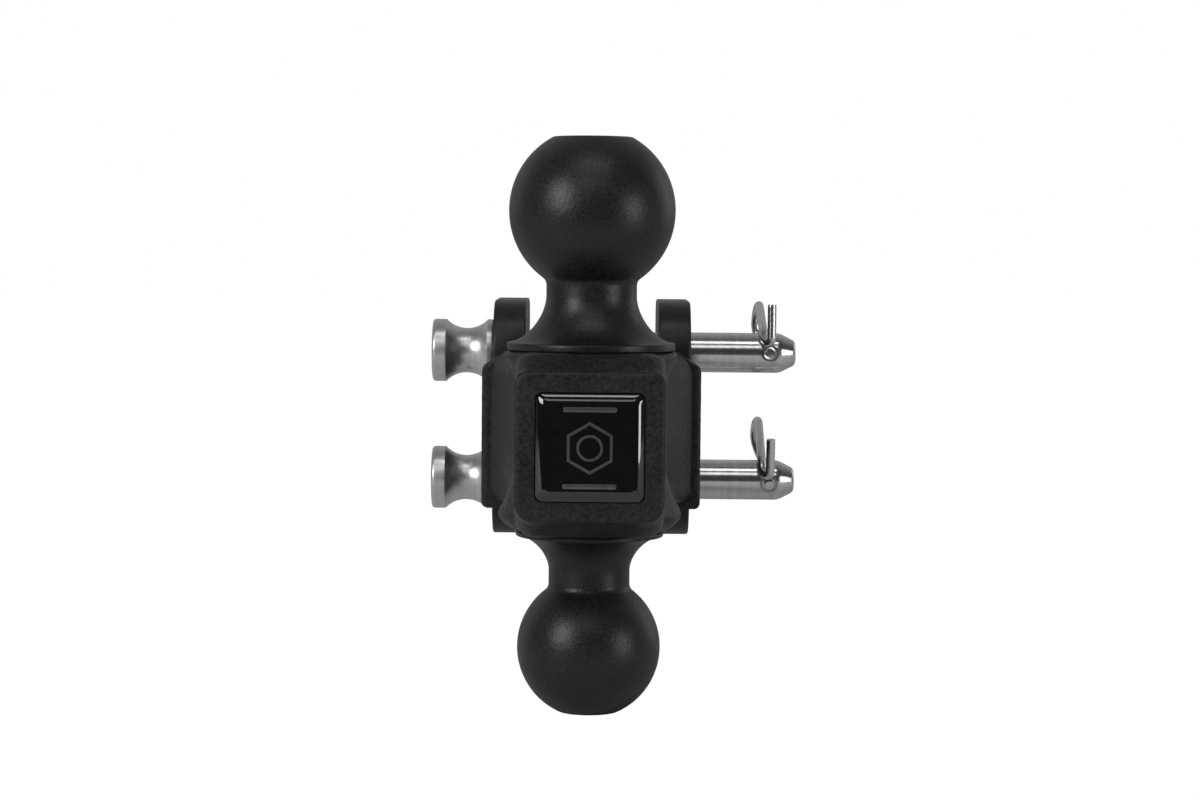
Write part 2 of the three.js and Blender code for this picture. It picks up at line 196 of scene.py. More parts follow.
def turning_marks_group() -> bpy.types.NodeTree:
    """Fine rings that a lathe tool leaves round an axis along X.

    Returns:
        A group with a Height for bump and a Shade from 0 to 1.
    """
    t = Tree(bpy.data.node_groups.new("turning_marks", "ShaderNodeTree"))
    t.port("Vector", "NodeSocketVector")
    t.port("Pitch Scale", "NodeSocketFloat", value=2500.0)
    t.port("Height", "NodeSocketFloat", is_input=False)
    t.port("Shade", "NodeSocketFloat", is_input=False)
    source = t.node("NodeGroupInput")
    parts = t.node("ShaderNodeSeparateXYZ", {"Vector": source.outputs["Vector"]})
    radius = t.node("ShaderNodeVectorMath", {0: source.outputs["Vector"], 1: (0.0, 1.0, 1.0)},
                    operation="MULTIPLY")
    reach = t.node("ShaderNodeVectorMath", {0: radius.outputs["Vector"]}, operation="LENGTH")
    along = t.math("ADD", parts.outputs["X"], reach.outputs["Value"])
    rings = t.node("ShaderNodeTexNoise", {"W": along, "Scale": source.outputs["Pitch Scale"],
                                          "Detail": 2.0, "Roughness": 0.7}, noise_dimensions="1D")
    bands = t.node("ShaderNodeTexNoise", {"W": along, "Scale": 420.0, "Detail": 1.0},
                   noise_dimensions="1D")
    t.node("NodeGroupOutput", {"Height": rings.outputs["Fac"], "Shade": bands.outputs["Fac"]})
    return t.tree


def edge_highlight_and_wear_group() -> bpy.types.NodeTree:
    """Where a part's convex edges are lightened: a painted edge highlight, with some wear, broken up
    by noise.

    Returns:
        A group with a Mask from 0 to 1.
    """
    t = Tree(bpy.data.node_groups.new("painted_edge_highlight_and_wear", "ShaderNodeTree"))
    t.port("Vector", "NodeSocketVector")
    t.port("Start", "NodeSocketFloat", value=0.54)
    t.port("Amount", "NodeSocketFloat", value=0.5)
    t.port("Mask", "NodeSocketFloat", is_input=False)
    source = t.node("NodeGroupInput")
    shape = t.node("ShaderNodeNewGeometry")
    end = t.math("ADD", source.outputs["Start"], 0.12)
    edge = t.node("ShaderNodeMapRange", {"Value": shape.outputs["Pointiness"],
                                         "From Min": source.outputs["Start"], "From Max": end})
    speckle = t.node("ShaderNodeTexNoise", {"Vector": source.outputs["Vector"], "Scale": 260.0,
                                            "Detail": 5.0, "Roughness": 0.7})
    broken = t.node("ShaderNodeMapRange", {"Value": speckle.outputs["Fac"],
                                           "From Min": 0.42, "From Max": 0.62})
    # Convex edges broken by noise: where the painted edge highlight and some wear go.
    edge_highlight_and_wear = t.math("MULTIPLY", edge.outputs["Result"], broken.outputs["Result"])
    t.node("NodeGroupOutput", {"Mask": t.math("MULTIPLY", edge_highlight_and_wear, source.outputs["Amount"])})
    return t.tree


@dataclass(frozen=True)
class Effects:
    """The shader groups that the finishes share."""

    grain: bpy.types.NodeTree
    marks: bpy.types.NodeTree
    edge_highlight_and_wear: bpy.types.NodeTree


# ---------------------------------------------------------------- finishes


class Surface(Tree):
    """The node tree of one material, with its Principled shader at the end."""

    def __init__(self, name: str, **constants: object) -> None:
        """Makes the material.

        Args:
            name: The material's name.
            constants: Values for the Principled shader's own sockets, with _ for a space.
        """
        self.material = bpy.data.materials.new(name)
        self.material.use_nodes = True
        super().__init__(self.material.node_tree)
        self.shader = self.node("ShaderNodeBsdfPrincipled")
        self.node("ShaderNodeOutputMaterial", {"Surface": self.shader.outputs[0]})
        self.coords = self.node("ShaderNodeTexCoord").outputs["Object"]
        for key, value in constants.items():
            socket = key.replace("_", " ").title().replace("Ior", "IOR")
            self.shader.inputs[socket].default_value = value

    def group(self, tree: bpy.types.NodeTree, **inputs: object) -> bpy.types.Node:
        """Places a shared group, fed by object coordinates unless a vector is given.

        Args:
            tree: The group.
            inputs: Its other inputs, with _ for a space.

        Returns:
            The group's node.
        """
        values = {"Vector": self.coords}
        values.update({name.replace("_", " ").title(): value for name, value in inputs.items()})
        made = self.node("ShaderNodeGroup", node_tree=tree)
        for name, value in values.items():
            self.feed(made.inputs[name], value)
        return made

    def blend(self, share: bpy.types.NodeSocket, low: Color, high: Color) -> bpy.types.NodeSocket:
        """A colour between two.

        Args:
            share: How far it is from the first to the second, from 0 to 1.
            low: The first colour.
            high: The second colour.

        Returns:
            The mixed colour.
        """
        made = self.node("ShaderNodeMix", data_type="RGBA")
        self.feed(made.inputs["Factor"], share)
        made.inputs[6].default_value = (*low, 1.0)
        made.inputs[7].default_value = (*high, 1.0)
        return made.outputs[2]

    def between(self, share: bpy.types.NodeSocket, low: float, high: float) -> bpy.types.NodeSocket:
        """A number between two, by a share from 0 to 1."""
        return self.node("ShaderNodeMapRange", {"Value": share, "To Min": low,
                                                "To Max": high}).outputs["Result"]

    def bump(self, height: bpy.types.NodeSocket, depth: float) -> None:
        """Feeds the shader's normal from a height, `depth` metres deep."""
        made = self.node("ShaderNodeBump", {"Height": height, "Distance": depth, "Strength": 1.0})
        self.feed(self.shader.inputs["Normal"], made.outputs["Normal"])


@dataclass(frozen=True)
class CoatFinish:
    """A black powder coat over steel."""

    name: str
    dark: Color
    light: Color
    smooth: float
    rough: float
    grain_scale: float
    lump_scale: float
    lump_share: float
    depth: float
    # How far convex edges are lightened: a painted edge highlight, with some wear.
    edge_highlight_and_wear: float
    gloss: float

    def build(self, effects: Effects) -> bpy.types.Material:
        """Makes the material.

        Args:
            effects: The shared shader groups.

        Returns:
            The material.
        """
        s = Surface(self.name, specular_ior_level=self.gloss)
        grain = s.group(effects.grain, grain_scale=self.grain_scale, lump_scale=self.lump_scale,
                        lump_share=self.lump_share)
        edge = s.group(effects.edge_highlight_and_wear, amount=self.edge_highlight_and_wear)
        color = s.blend(grain.outputs["Mottle"], self.dark, self.light)
        # Convex edges mixed toward a lighter grey: a painted edge highlight, with some wear.
        edge_lit_and_worn = s.node("ShaderNodeMix", data_type="RGBA")
        s.feed(edge_lit_and_worn.inputs["Factor"], edge.outputs["Mask"])
        s.feed(edge_lit_and_worn.inputs[6], color)
        edge_lit_and_worn.inputs[7].default_value = (*EDGE_HIGHLIGHT_AND_WEAR_GREY, 1.0)
        s.feed(s.shader.inputs["Base Color"], edge_lit_and_worn.outputs[2])
        polish = s.between(grain.outputs["Mottle"], self.smooth, self.rough)
        s.feed(s.shader.inputs["Roughness"], polish)
        s.bump(grain.outputs["Height"], self.depth)
        return s.material


@dataclass(frozen=True)
class SteelFinish:
    """Bare bright steel, turned on a lathe or drawn as wire."""

    name: str
    dark: Color
    light: Color
    smooth: float
    rough: float
    pitch_scale: float
    depth: float
    axis: Vector
    satin_end: float = -1.0
    satin: float = 0.0

    def build(self, effects: Effects) -> bpy.types.Material:
        """Makes the material, with marks round `axis`, and duller by `satin` before `satin_end`.

        Args:
            effects: The shared shader groups.

        Returns:
            The material.
        """
        s = Surface(self.name, metallic=1.0)
        centred = s.node("ShaderNodeMapping", {"Vector": s.coords, "Location": tuple(-self.axis)})
        marks = s.group(effects.marks, vector=centred.outputs["Vector"],
                        pitch_scale=self.pitch_scale)
        haze = s.node("ShaderNodeTexNoise", {"Vector": s.coords, "Scale": 120.0, "Detail": 3.0})
        color = s.blend(marks.outputs["Shade"], self.dark, self.light)
        s.feed(s.shader.inputs["Base Color"], color)
        polish = s.between(haze.outputs["Fac"], self.smooth, self.rough)
        if self.satin:
            along = s.node("ShaderNodeSeparateXYZ", {"Vector": s.coords}).outputs["X"]
            dull = s.math("MULTIPLY", s.math("LESS_THAN", along, self.satin_end), self.satin)
            polish = s.math("ADD", polish, dull)
        s.feed(s.shader.inputs["Roughness"], polish)
        s.bump(marks.outputs["Height"], self.depth)
        return s.material


@dataclass(frozen=True)
class GlossFinish:
    """A glossy cast resin."""

    name: str
    color: Color

    def build(self, effects: Effects) -> bpy.types.Material:
        """Makes the material, with a faint ripple of the poured surface.

        Args:
            effects: The shared shader groups.

        Returns:
            The material.
        """
        s = Surface(self.name, specular_ior_level=0.6, coat_roughness=0.02)
        ripple = s.group(effects.grain, grain_scale=350.0, lump_scale=90.0, lump_share=0.8)
        faint = tuple(2.0 * c for c in self.color)
        s.feed(s.shader.inputs["Base Color"], s.blend(ripple.outputs["Mottle"], self.color, faint))
        s.feed(s.shader.inputs["Roughness"], s.between(ripple.outputs["Mottle"], 0.03, 0.08))
        s.feed(s.shader.inputs["Coat Weight"], s.between(ripple.outputs["Mottle"], 0.9, 1.0))
        s.bump(ripple.outputs["Height"], 0.03 * MM)
        return s.material


# ---------------------------------------------------------------- geometry trees


class GeometryRule(Tree):
    """A Geometry Nodes tree that makes one kind of piece."""

    def __init__(self, name: str) -> None:
        """Makes the tree, with a geometry and a material input and a geometry output.

        Args:
            name: The tree's name.
        """
        super().__init__(bpy.data.node_groups.new(name, "GeometryNodeTree"))
        self.port("Geometry", "NodeSocketGeometry")
        self.port("Material", "NodeSocketMaterial")
        self.port("Geometry", "NodeSocketGeometry", is_input=False)

    def start(self) -> bpy.types.Node:
        """Adds the group's input node, once every input is named."""
        self.source = self.node("NodeGroupInput")
        return self.source

    def finish(self, geometry: bpy.types.NodeSocket) -> None:
        """Ends the tree: real, smooth geometry with the material set.

        Args:
            geometry: What the tree has made.
        """
        real = self.node("GeometryNodeRealizeInstances", {"Geometry": geometry})
        smooth = self.node("GeometryNodeSetShadeSmooth", {"Geometry": real.outputs[0]})
        painted = self.node("GeometryNodeSetMaterial", {"Geometry": smooth.outputs[0],
                                                        "Material": self.source.outputs["Material"]})
        self.node("NodeGroupOutput", {"Geometry": painted.outputs[0]})

    def run(self, name: str, path: list[Vector], material: bpy.types.Material,
            **values: float) -> bpy.types.Mesh:
        """Runs the tree on an open line of points.

        Args:
            name: A name for the result.
            path: The line's points in order.
            material: The material that the tree sets.
            values: The tree's other inputs, with _ for a space.

        Returns:
            The finished plain mesh.
        """
        line = bpy.data.meshes.new(name)
        line.from_pydata([tuple(p) for p in path], [(i, i + 1) for i in range(len(path) - 1)], [])
        holder = bpy.data.objects.new(name + "_line", line)
        bpy.context.scene.collection.objects.link(holder)
        modifier = holder.modifiers.new("rule", "NODES")
        modifier.node_group = self.tree
        values = {key.replace("_", " ").title(): value for key, value in values.items()}
        values["Material"] = material
        for item in self.tree.interface.items_tree:
            if item.in_out == "INPUT" and item.name in values:
                modifier[item.identifier] = values[item.name]
        depsgraph = bpy.context.evaluated_depsgraph_get()
        made = bpy.data.meshes.new_from_object(holder.evaluated_get(depsgraph))
        holder.modifiers.remove(modifier)
        bpy.data.objects.remove(holder)
        bpy.data.meshes.remove(line)
        made.name = name
        return made


def revolve_rule() -> GeometryRule:
    """A body of revolution: the line's points are (radius, 0, height) and turn about Z.

    Returns:
        The rule.
    """
    t = GeometryRule("revolve")
    t.port("Segments", "NodeSocketInt", value=96)
    source = t.start()
    line, segments = source.outputs["Geometry"], source.outputs["Segments"]
    count = t.node("GeometryNodeAttributeDomainSize", {"Geometry": line}).outputs["Point Count"]
    grid = t.node("GeometryNodeMeshGrid", {"Vertices X": t.math("ADD", segments, 1.0),
                                           "Vertices Y": count})
    index = t.node("GeometryNodeInputIndex").outputs[0]
    ring = t.math("FLOOR", t.math("DIVIDE", t.math("ADD", index, 0.5), count))
    step = t.math("SUBTRACT", index, t.math("MULTIPLY", ring, count))
    place = t.node("GeometryNodeInputPosition").outputs[0]
    sample = t.node("GeometryNodeSampleIndex", {"Geometry": line}, data_type="FLOAT_VECTOR")
    t.feed(sample.inputs["Value"], place)
    t.feed(sample.inputs["Index"], step)
    parts = t.node("ShaderNodeSeparateXYZ", {"Vector": sample.outputs[0]})
    angle = t.math("MULTIPLY", t.math("DIVIDE", ring, segments), TURN)
    spot = t.node("ShaderNodeCombineXYZ", {
        "X": t.math("MULTIPLY", parts.outputs["X"], t.math("COSINE", angle)),
        "Y": t.math("MULTIPLY", parts.outputs["X"], t.math("SINE", angle)),
        "Z": parts.outputs["Z"]})
    skin = t.node("GeometryNodeSetPosition", {"Geometry": grid.outputs["Mesh"],
                                              "Position": spot.outputs[0]})
    closed = t.node("GeometryNodeMergeByDistance", {"Geometry": skin.outputs[0], "Distance": 1e-6})
    t.finish(closed.outputs[0])
    return t


def wire_rule() -> GeometryRule:
    """Round wire that follows the line, with closed ends.

    Returns:
        The rule.
    """
    t = GeometryRule("wire")
    t.port("Radius", "NodeSocketFloat", value=1.75 * MM)
    t.port("Sides", "NodeSocketInt", value=24)
    source = t.start()
    path = t.node("GeometryNodeMeshToCurve", {"Mesh": source.outputs["Geometry"]})
    ring = t.node("GeometryNodeCurvePrimitiveCircle", {"Resolution": source.outputs["Sides"],
                                                       "Radius": source.outputs["Radius"]})
    tube = t.node("GeometryNodeCurveToMesh", {"Curve": path.outputs[0],
                                              "Profile Curve": ring.outputs[0], "Fill Caps": True})
    t.finish(tube.outputs[0])
    return t


def bead_rule() -> GeometryRule:
    """Overlapping scallops of weld metal along the line, a little uneven.

    Returns:
        The rule.
    """
    t = GeometryRule("weld_bead")
    t.port("Pitch", "NodeSocketFloat", value=1.1 * MM)
    t.port("Radius", "NodeSocketFloat", value=2.0 * MM)
    t.port("Seed", "NodeSocketInt", value=7)
    source = t.start()
    path = t.node("GeometryNodeMeshToCurve", {"Mesh": source.outputs["Geometry"]})
    spots = t.node("GeometryNodeCurveToPoints", {"Curve": path.outputs[0],
                                                 "Length": source.outputs["Pitch"]}, mode="LENGTH")
    scallop = t.node("GeometryNodeMeshIcoSphere", {"Radius": source.outputs["Radius"],
                                                   "Subdivisions": 4})
    size = t.node("FunctionNodeRandomValue", {2: 0.9, 3: 1.06, "Seed": source.outputs["Seed"]},
                  data_type="FLOAT")
    lean = t.node("FunctionNodeRandomValue", {0: (-0.1, -0.1, -0.2), 1: (0.1, 0.1, 0.2),
                                              "Seed": source.outputs["Seed"]},
                  data_type="FLOAT_VECTOR")
    flat = t.node("ShaderNodeCombineXYZ", {"X": size.outputs[1], "Y": size.outputs[1], "Z": 0.55})
    beads = t.node("GeometryNodeInstanceOnPoints", {"Points": spots.outputs["Points"],
                                                    "Instance": scallop.outputs["Mesh"],
                                                    "Rotation": lean.outputs[0],
                                                    "Scale": flat.outputs[0]})
    t.finish(beads.outputs[0])
    return t


@dataclass(frozen=True)
class Rules:
    """The Geometry Nodes trees that the pieces use."""

    revolve: GeometryRule
    wire: GeometryRule
    bead: GeometryRule


# ---------------------------------------------------------------- mesh helpers


def arc(center: Pair, radius: float, start: float, end: float, steps: int) -> list[Pair]:
    """Points on a circular arc between two angles in radians."""
    angles = [start + (end - start) * i / steps for i in range(steps + 1)]
    return [(center[0] + radius * math.cos(a), center[1] + radius * math.sin(a)) for a in angles]


def smoothstep(x: float, low: float, high: float) -> float:
    """A smooth rise from 0 at low to 1 at high."""
    t = min(1.0, max(0.0, (x - low) / (high - low)))
    return t * t * (3 - 2 * t)


def mix(a: float, b: float, share: float) -> float:
    """A value between a and b."""
    return a + (b - a) * share


def round_corners(corners: list[tuple[float, float, float]], steps: int = 6) -> list[Pair]:
    """An outline whose corners are replaced by arcs.

    Args:
        corners: (x, y, radius) of each corner, in order round the outline.
        steps: How many edges each arc has.

    Returns:
        The outline's points.
    """
    points: list[Pair] = []
    for i, (x, y, radius) in enumerate(corners):
        here = Vector((x, y))
        before = (Vector(corners[i - 1][:2]) - here).normalized()
        after = (Vector(corners[(i + 1) % len(corners)][:2]) - here).normalized()
        half = before.angle(after) / 2
        if radius <= 0 or half > 1.55:
            points.append((x, y))
            continue
        middle = here + (before + after).normalized() * radius / math.sin(half)
        first = here + before * radius / math.tan(half) - middle
        last = here + after * radius / math.tan(half) - middle
        start = math.atan2(first.y, first.x)
        sweep = (math.atan2(last.y, last.x) - start + math.pi) % TURN - math.pi
        points += arc(tuple(middle), radius, start, start + sweep, steps)
    return points


def cleaned(mesh: bpy.types.Mesh) -> bpy.types.Mesh:
    """Merges doubles and points every face outwards.

    Args:
        mesh: A closed mesh.

    Returns:
        The same mesh.
    """
    bm = bmesh.new()
    bm.from_mesh(mesh)
    bmesh.ops.remove_doubles(bm, verts=bm.verts, dist=1e-6)
    bmesh.ops.recalc_face_normals(bm, faces=bm.faces)
    bm.to_mesh(mesh)
    bm.free()
    return mesh


def loft(name: str, rings: list[list[Vector]]) -> bpy.types.Mesh:
    """A closed skin through equal rings of points, with both ends capped.

    Args:
        name: The mesh's name.
        rings: The rings in order, each with as many points.

    Returns:
        The mesh.
    """
    bm = bmesh.new()
    rows = [[bm.verts.new(p) for p in ring] for ring in rings]
    count = len(rows[0])
    for low, high in zip(rows, rows[1:]):
        for i in range(count):
            j = (i + 1) % count
            bm.faces.new((low[i], low[j], high[j], high[i]))
    bm.faces.new(rows[0])
    bm.faces.new(rows[-1])
    bmesh.ops.recalc_face_normals(bm, faces=bm.faces)
    mesh = bpy.data.meshes.new(name)
    bm.to_mesh(mesh)
    bm.free()
    return mesh


def plate(name: str, outline: list[Pair], thickness: float, edge: float) -> bpy.types.Mesh:
    """A flat plate with rounded edges, drawn in X-Y and standing from z = 0 to its thickness.

    Args:
        name: The mesh's name.
        outline: The outline's points, anticlockwise.
        thickness: How thick it is.
        edge: The radius of its edges.

    Returns:
        The mesh.
    """
    def ring(inset: float, z: float) -> list[Vector]:
        """The outline at height z, moved inwards.

        Args:
            inset: How far it is moved.
            z: The height.

        Returns:
            The ring's points.
        """
        size = len(outline)
        moved = []
        for i, point in enumerate(outline):
            ahead = Vector(outline[(i + 1) % size]) - Vector(outline[i - 1])
            inward = Vector((-ahead.y, ahead.x)).normalized()
            spot = Vector(point) + inward * inset
            moved.append(Vector((spot.x, spot.y, z)))
        return moved

    steps = 4
    turns = [math.pi / 2 * i / steps for i in range(steps + 1)]
    low = [ring(edge * (1 - math.sin(a)), edge * (1 - math.cos(a))) for a in turns]
    high = [ring(edge * (1 - math.cos(a)), thickness - edge * (1 - math.sin(a))) for a in turns]
    return loft(name, low + high)


def carry(mesh: bpy.types.Mesh, matrix: Matrix) -> bpy.types.Mesh:
    """Moves a mesh's vertices."""
    mesh.transform(matrix)
    return mesh


def placed(mesh: bpy.types.Mesh, name: str) -> bpy.types.Object:
    """An object that holds the mesh, at the origin.

    Args:
        mesh: The mesh.
        name: The object's name.

    Returns:
        The object.
    """
    made = bpy.data.objects.new(name, mesh)
    bpy.context.scene.collection.objects.link(made)
    return made


def modified(mesh: bpy.types.Mesh, kind: str, **settings: object) -> bpy.types.Mesh:
    """The mesh after one modifier.

    Args:
        mesh: The mesh.
        kind: The modifier's type.
        settings: The modifier's properties.

    Returns:
        A new mesh.
    """
    holder = placed(mesh, mesh.name + "_work")
    modifier = holder.modifiers.new(kind, kind)
    for name, value in settings.items():
        setattr(modifier, name, value)
    depsgraph = bpy.context.evaluated_depsgraph_get()
    made = bpy.data.meshes.new_from_object(holder.evaluated_get(depsgraph))
    bpy.data.objects.remove(holder)
    return made


def cut(mesh: bpy.types.Mesh, *tools: bpy.types.Mesh) -> bpy.types.Mesh:
    """The mesh with each tool's volume taken away.

    Args:
        mesh: A closed mesh.
        tools: Closed meshes, used up.

    Returns:
        A new mesh.
    """
    for tool in tools:
        cutter = placed(tool, tool.name + "_cutter")
        mesh = modified(mesh, "BOOLEAN", operation="DIFFERENCE", solver="MANIFOLD", object=cutter)
        bpy.data.objects.remove(cutter)
    return mesh


def joined(name: str, meshes: list[bpy.types.Mesh]) -> bpy.types.Mesh:
    """One mesh that holds several.

    Args:
        name: The new mesh's name.
        meshes: The meshes.

    Returns:
        The mesh.
    """
    bm = bmesh.new()
    for mesh in meshes:
        bm.from_mesh(mesh)
    made = bpy.data.meshes.new(name)
    bm.to_mesh(made)
    bm.free()
    return made


def fused(mesh: bpy.types.Mesh, voxel: float, rounds: int) -> bpy.types.Mesh:
    """One smooth skin round overlapping solids, as a casting has."""
    mesh = modified(mesh, "REMESH", mode="VOXEL", voxel_size=voxel)
    return modified(mesh, "SMOOTH", factor=0.5, iterations=rounds)


def softened(mesh: bpy.types.Mesh, rise: Pair, fall: Pair, rounds: int) -> bpy.types.Mesh:
    """Rounds a casting's corners, from none to full over `rise` along Y, and back over `fall`.

    Args:
        mesh: The mesh.
        rise: Where along Y the rounding starts and is full.
        fall: Where along Y it starts to fade and is gone.
        rounds: How many smoothing steps it has.

    Returns:
        A new mesh.
    """
    holder = placed(mesh, mesh.name + "_soften")
    group = holder.vertex_groups.new(name="behind_face")
    for vertex in mesh.vertices:
        share = smoothstep(vertex.co.y, *rise) * (1 - smoothstep(vertex.co.y, *fall))
        group.add([vertex.index], share, "REPLACE")
    modifier = holder.modifiers.new("soften", "SMOOTH")
    modifier.factor, modifier.iterations, modifier.vertex_group = 0.5, rounds, group.name
    depsgraph = bpy.context.evaluated_depsgraph_get()
    made = bpy.data.meshes.new_from_object(holder.evaluated_get(depsgraph))
    bpy.data.objects.remove(holder)
    return made


def roughened(mesh: bpy.types.Mesh, depth: float, scale: float) -> bpy.types.Mesh:
    """Moves every vertex along its normal by a fine noise, as a forged skin is uneven.

    Args:
        mesh: The mesh.
        depth: How far the noise moves a vertex.
        scale: How fine it is, per metre.

    Returns:
        The same mesh.
    """
    moved = []
    for vertex in mesh.vertices:
        lift = noise.noise(vertex.co * scale) + 0.5 * noise.noise(vertex.co * scale * 2.7)
        moved.extend(vertex.co + vertex.normal * lift * depth)
    mesh.vertices.foreach_set("co", moved)
    mesh.update()
    return mesh


def smooth_shaded(mesh: bpy.types.Mesh, angle: float = math.radians(40)) -> bpy.types.Mesh:
    """Smooth shading with sharp edges kept past an angle.

    Args:
        mesh: The mesh.
        angle: The angle in radians.

    Returns:
        The same mesh.
    """
    mesh.shade_smooth()
    mesh.set_sharp_from_angle(angle=angle)
    return mesh


@dataclass
class Shop:
    """What every sub-assembly builds with."""

    rules: Rules
    finishes: dict[str, bpy.types.Material]

    def piece(self, mesh: bpy.types.Mesh, name: str, finish: str, body: Body, slot: Slot,
              *nodes: str) -> bpy.types.Object:
        """Turns a finished mesh into a piece of the object.

        Args:
            mesh: The mesh, in place in the frame.
            name: The piece's name.
            finish: The finish that covers it.
            body: The body that it rides on.
            slot: Not used.
            nodes: The CAD nodes that it stands for.

        Returns:
            The piece.
        """
        mesh.materials.clear()
        mesh.materials.append(self.finishes[finish])
        made = placed(mesh, name)
        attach(made, body.value)
        if nodes:
            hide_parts(*nodes)
        LOG.info("%s: %d faces on %s", name, len(mesh.polygons), body.value)
        return made


# ---------------------------------------------------------------- sub-assemblies


@dataclass
class HitchBall:
    """A coupler ball with its neck, flared foot and spigot.

    Heights count away from the level midway between the pins.
    """

    node: str
    radius: float
    centre: float
    flat: float
    neck_radius: float
    neck_base: float
    foot_radius: float
    foot_face: float
    foot_base: float
    spigot_radius: float
    neck_fillet: float = 3.2 * MM
    flat_edge: float = 1.4 * MM
    foot_edge: float = 0.45 * MM
    seat_gap: float = 0.25 * MM
    flare_power: float = 1.7
    flipped: bool = False

    def profile(self) -> list[Pair]:
        """The half outline from the spigot's end up to the top flat, as (radius, height).

        Returns:
            The outline's points.
        """
        low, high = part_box(self.node)
        spigot_end = -high.z if self.flipped else low.z
        height = self.neck_base - self.foot_face
        flare = []
        for i in range(29):
            drop = math.cos(math.pi / 2 * i / 28)
            reach = (1 - drop ** self.flare_power) ** (1 / self.flare_power)
            flare.append((mix(self.foot_radius - self.foot_edge, self.neck_radius, reach),
                          self.neck_base - drop * height))
        across = self.neck_radius + self.neck_fillet
        drop = math.sqrt((self.radius + self.neck_fillet) ** 2 - across ** 2)
        lean = math.atan2(drop, -across)
        fillet = arc((across, self.centre - drop), self.neck_fillet, math.pi, lean, 8)
        rise = self.flat - self.flat_edge
        run = math.sqrt((self.radius - self.flat_edge) ** 2 - rise ** 2)
        crown = math.atan2(rise, run)
        sphere = arc((0.0, self.centre), self.radius, lean - math.pi, crown, 72)
        brow = arc((run, self.centre + rise), self.flat_edge, crown, math.pi / 2, 5)
        edge = self.foot_edge
        rim = arc((self.foot_radius - edge, self.foot_face - edge), edge, 0, math.pi / 2, 4)
        base = self.foot_base - self.seat_gap
        under = arc((self.foot_radius - edge, base + edge), edge, -math.pi / 2, 0, 4)
        return [(0.0, spigot_end), (self.spigot_radius, spigot_end), (self.spigot_radius, base),
                *under, *rim, *flare[1:], *fillet, *sphere[1:], *brow[1:],
                (0.0, self.centre + self.flat)]

    def build(self, shop: Shop) -> None:
        """Builds the ball and dresses it.

        Args:
            shop: What the pieces are built with.
        """
        low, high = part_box(self.node)
        line = [Vector((r, 0.0, h)) for r, h in self.profile()]
        mesh = shop.rules.revolve.run(self.node, line, shop.finishes["coat"], segments=160)
        turn = Matrix.Rotation(math.pi, 4, "Y") if self.flipped else Matrix.Identity(4)
        carry(mesh, Matrix.Translation((0.0, (low.y + high.y) / 2, 0.0)) @ turn)
        smooth_shaded(cleaned(mesh))
        shop.piece(mesh, self.node + "_coated", "coat", Body.HITCH, Slot.COAT, self.node)


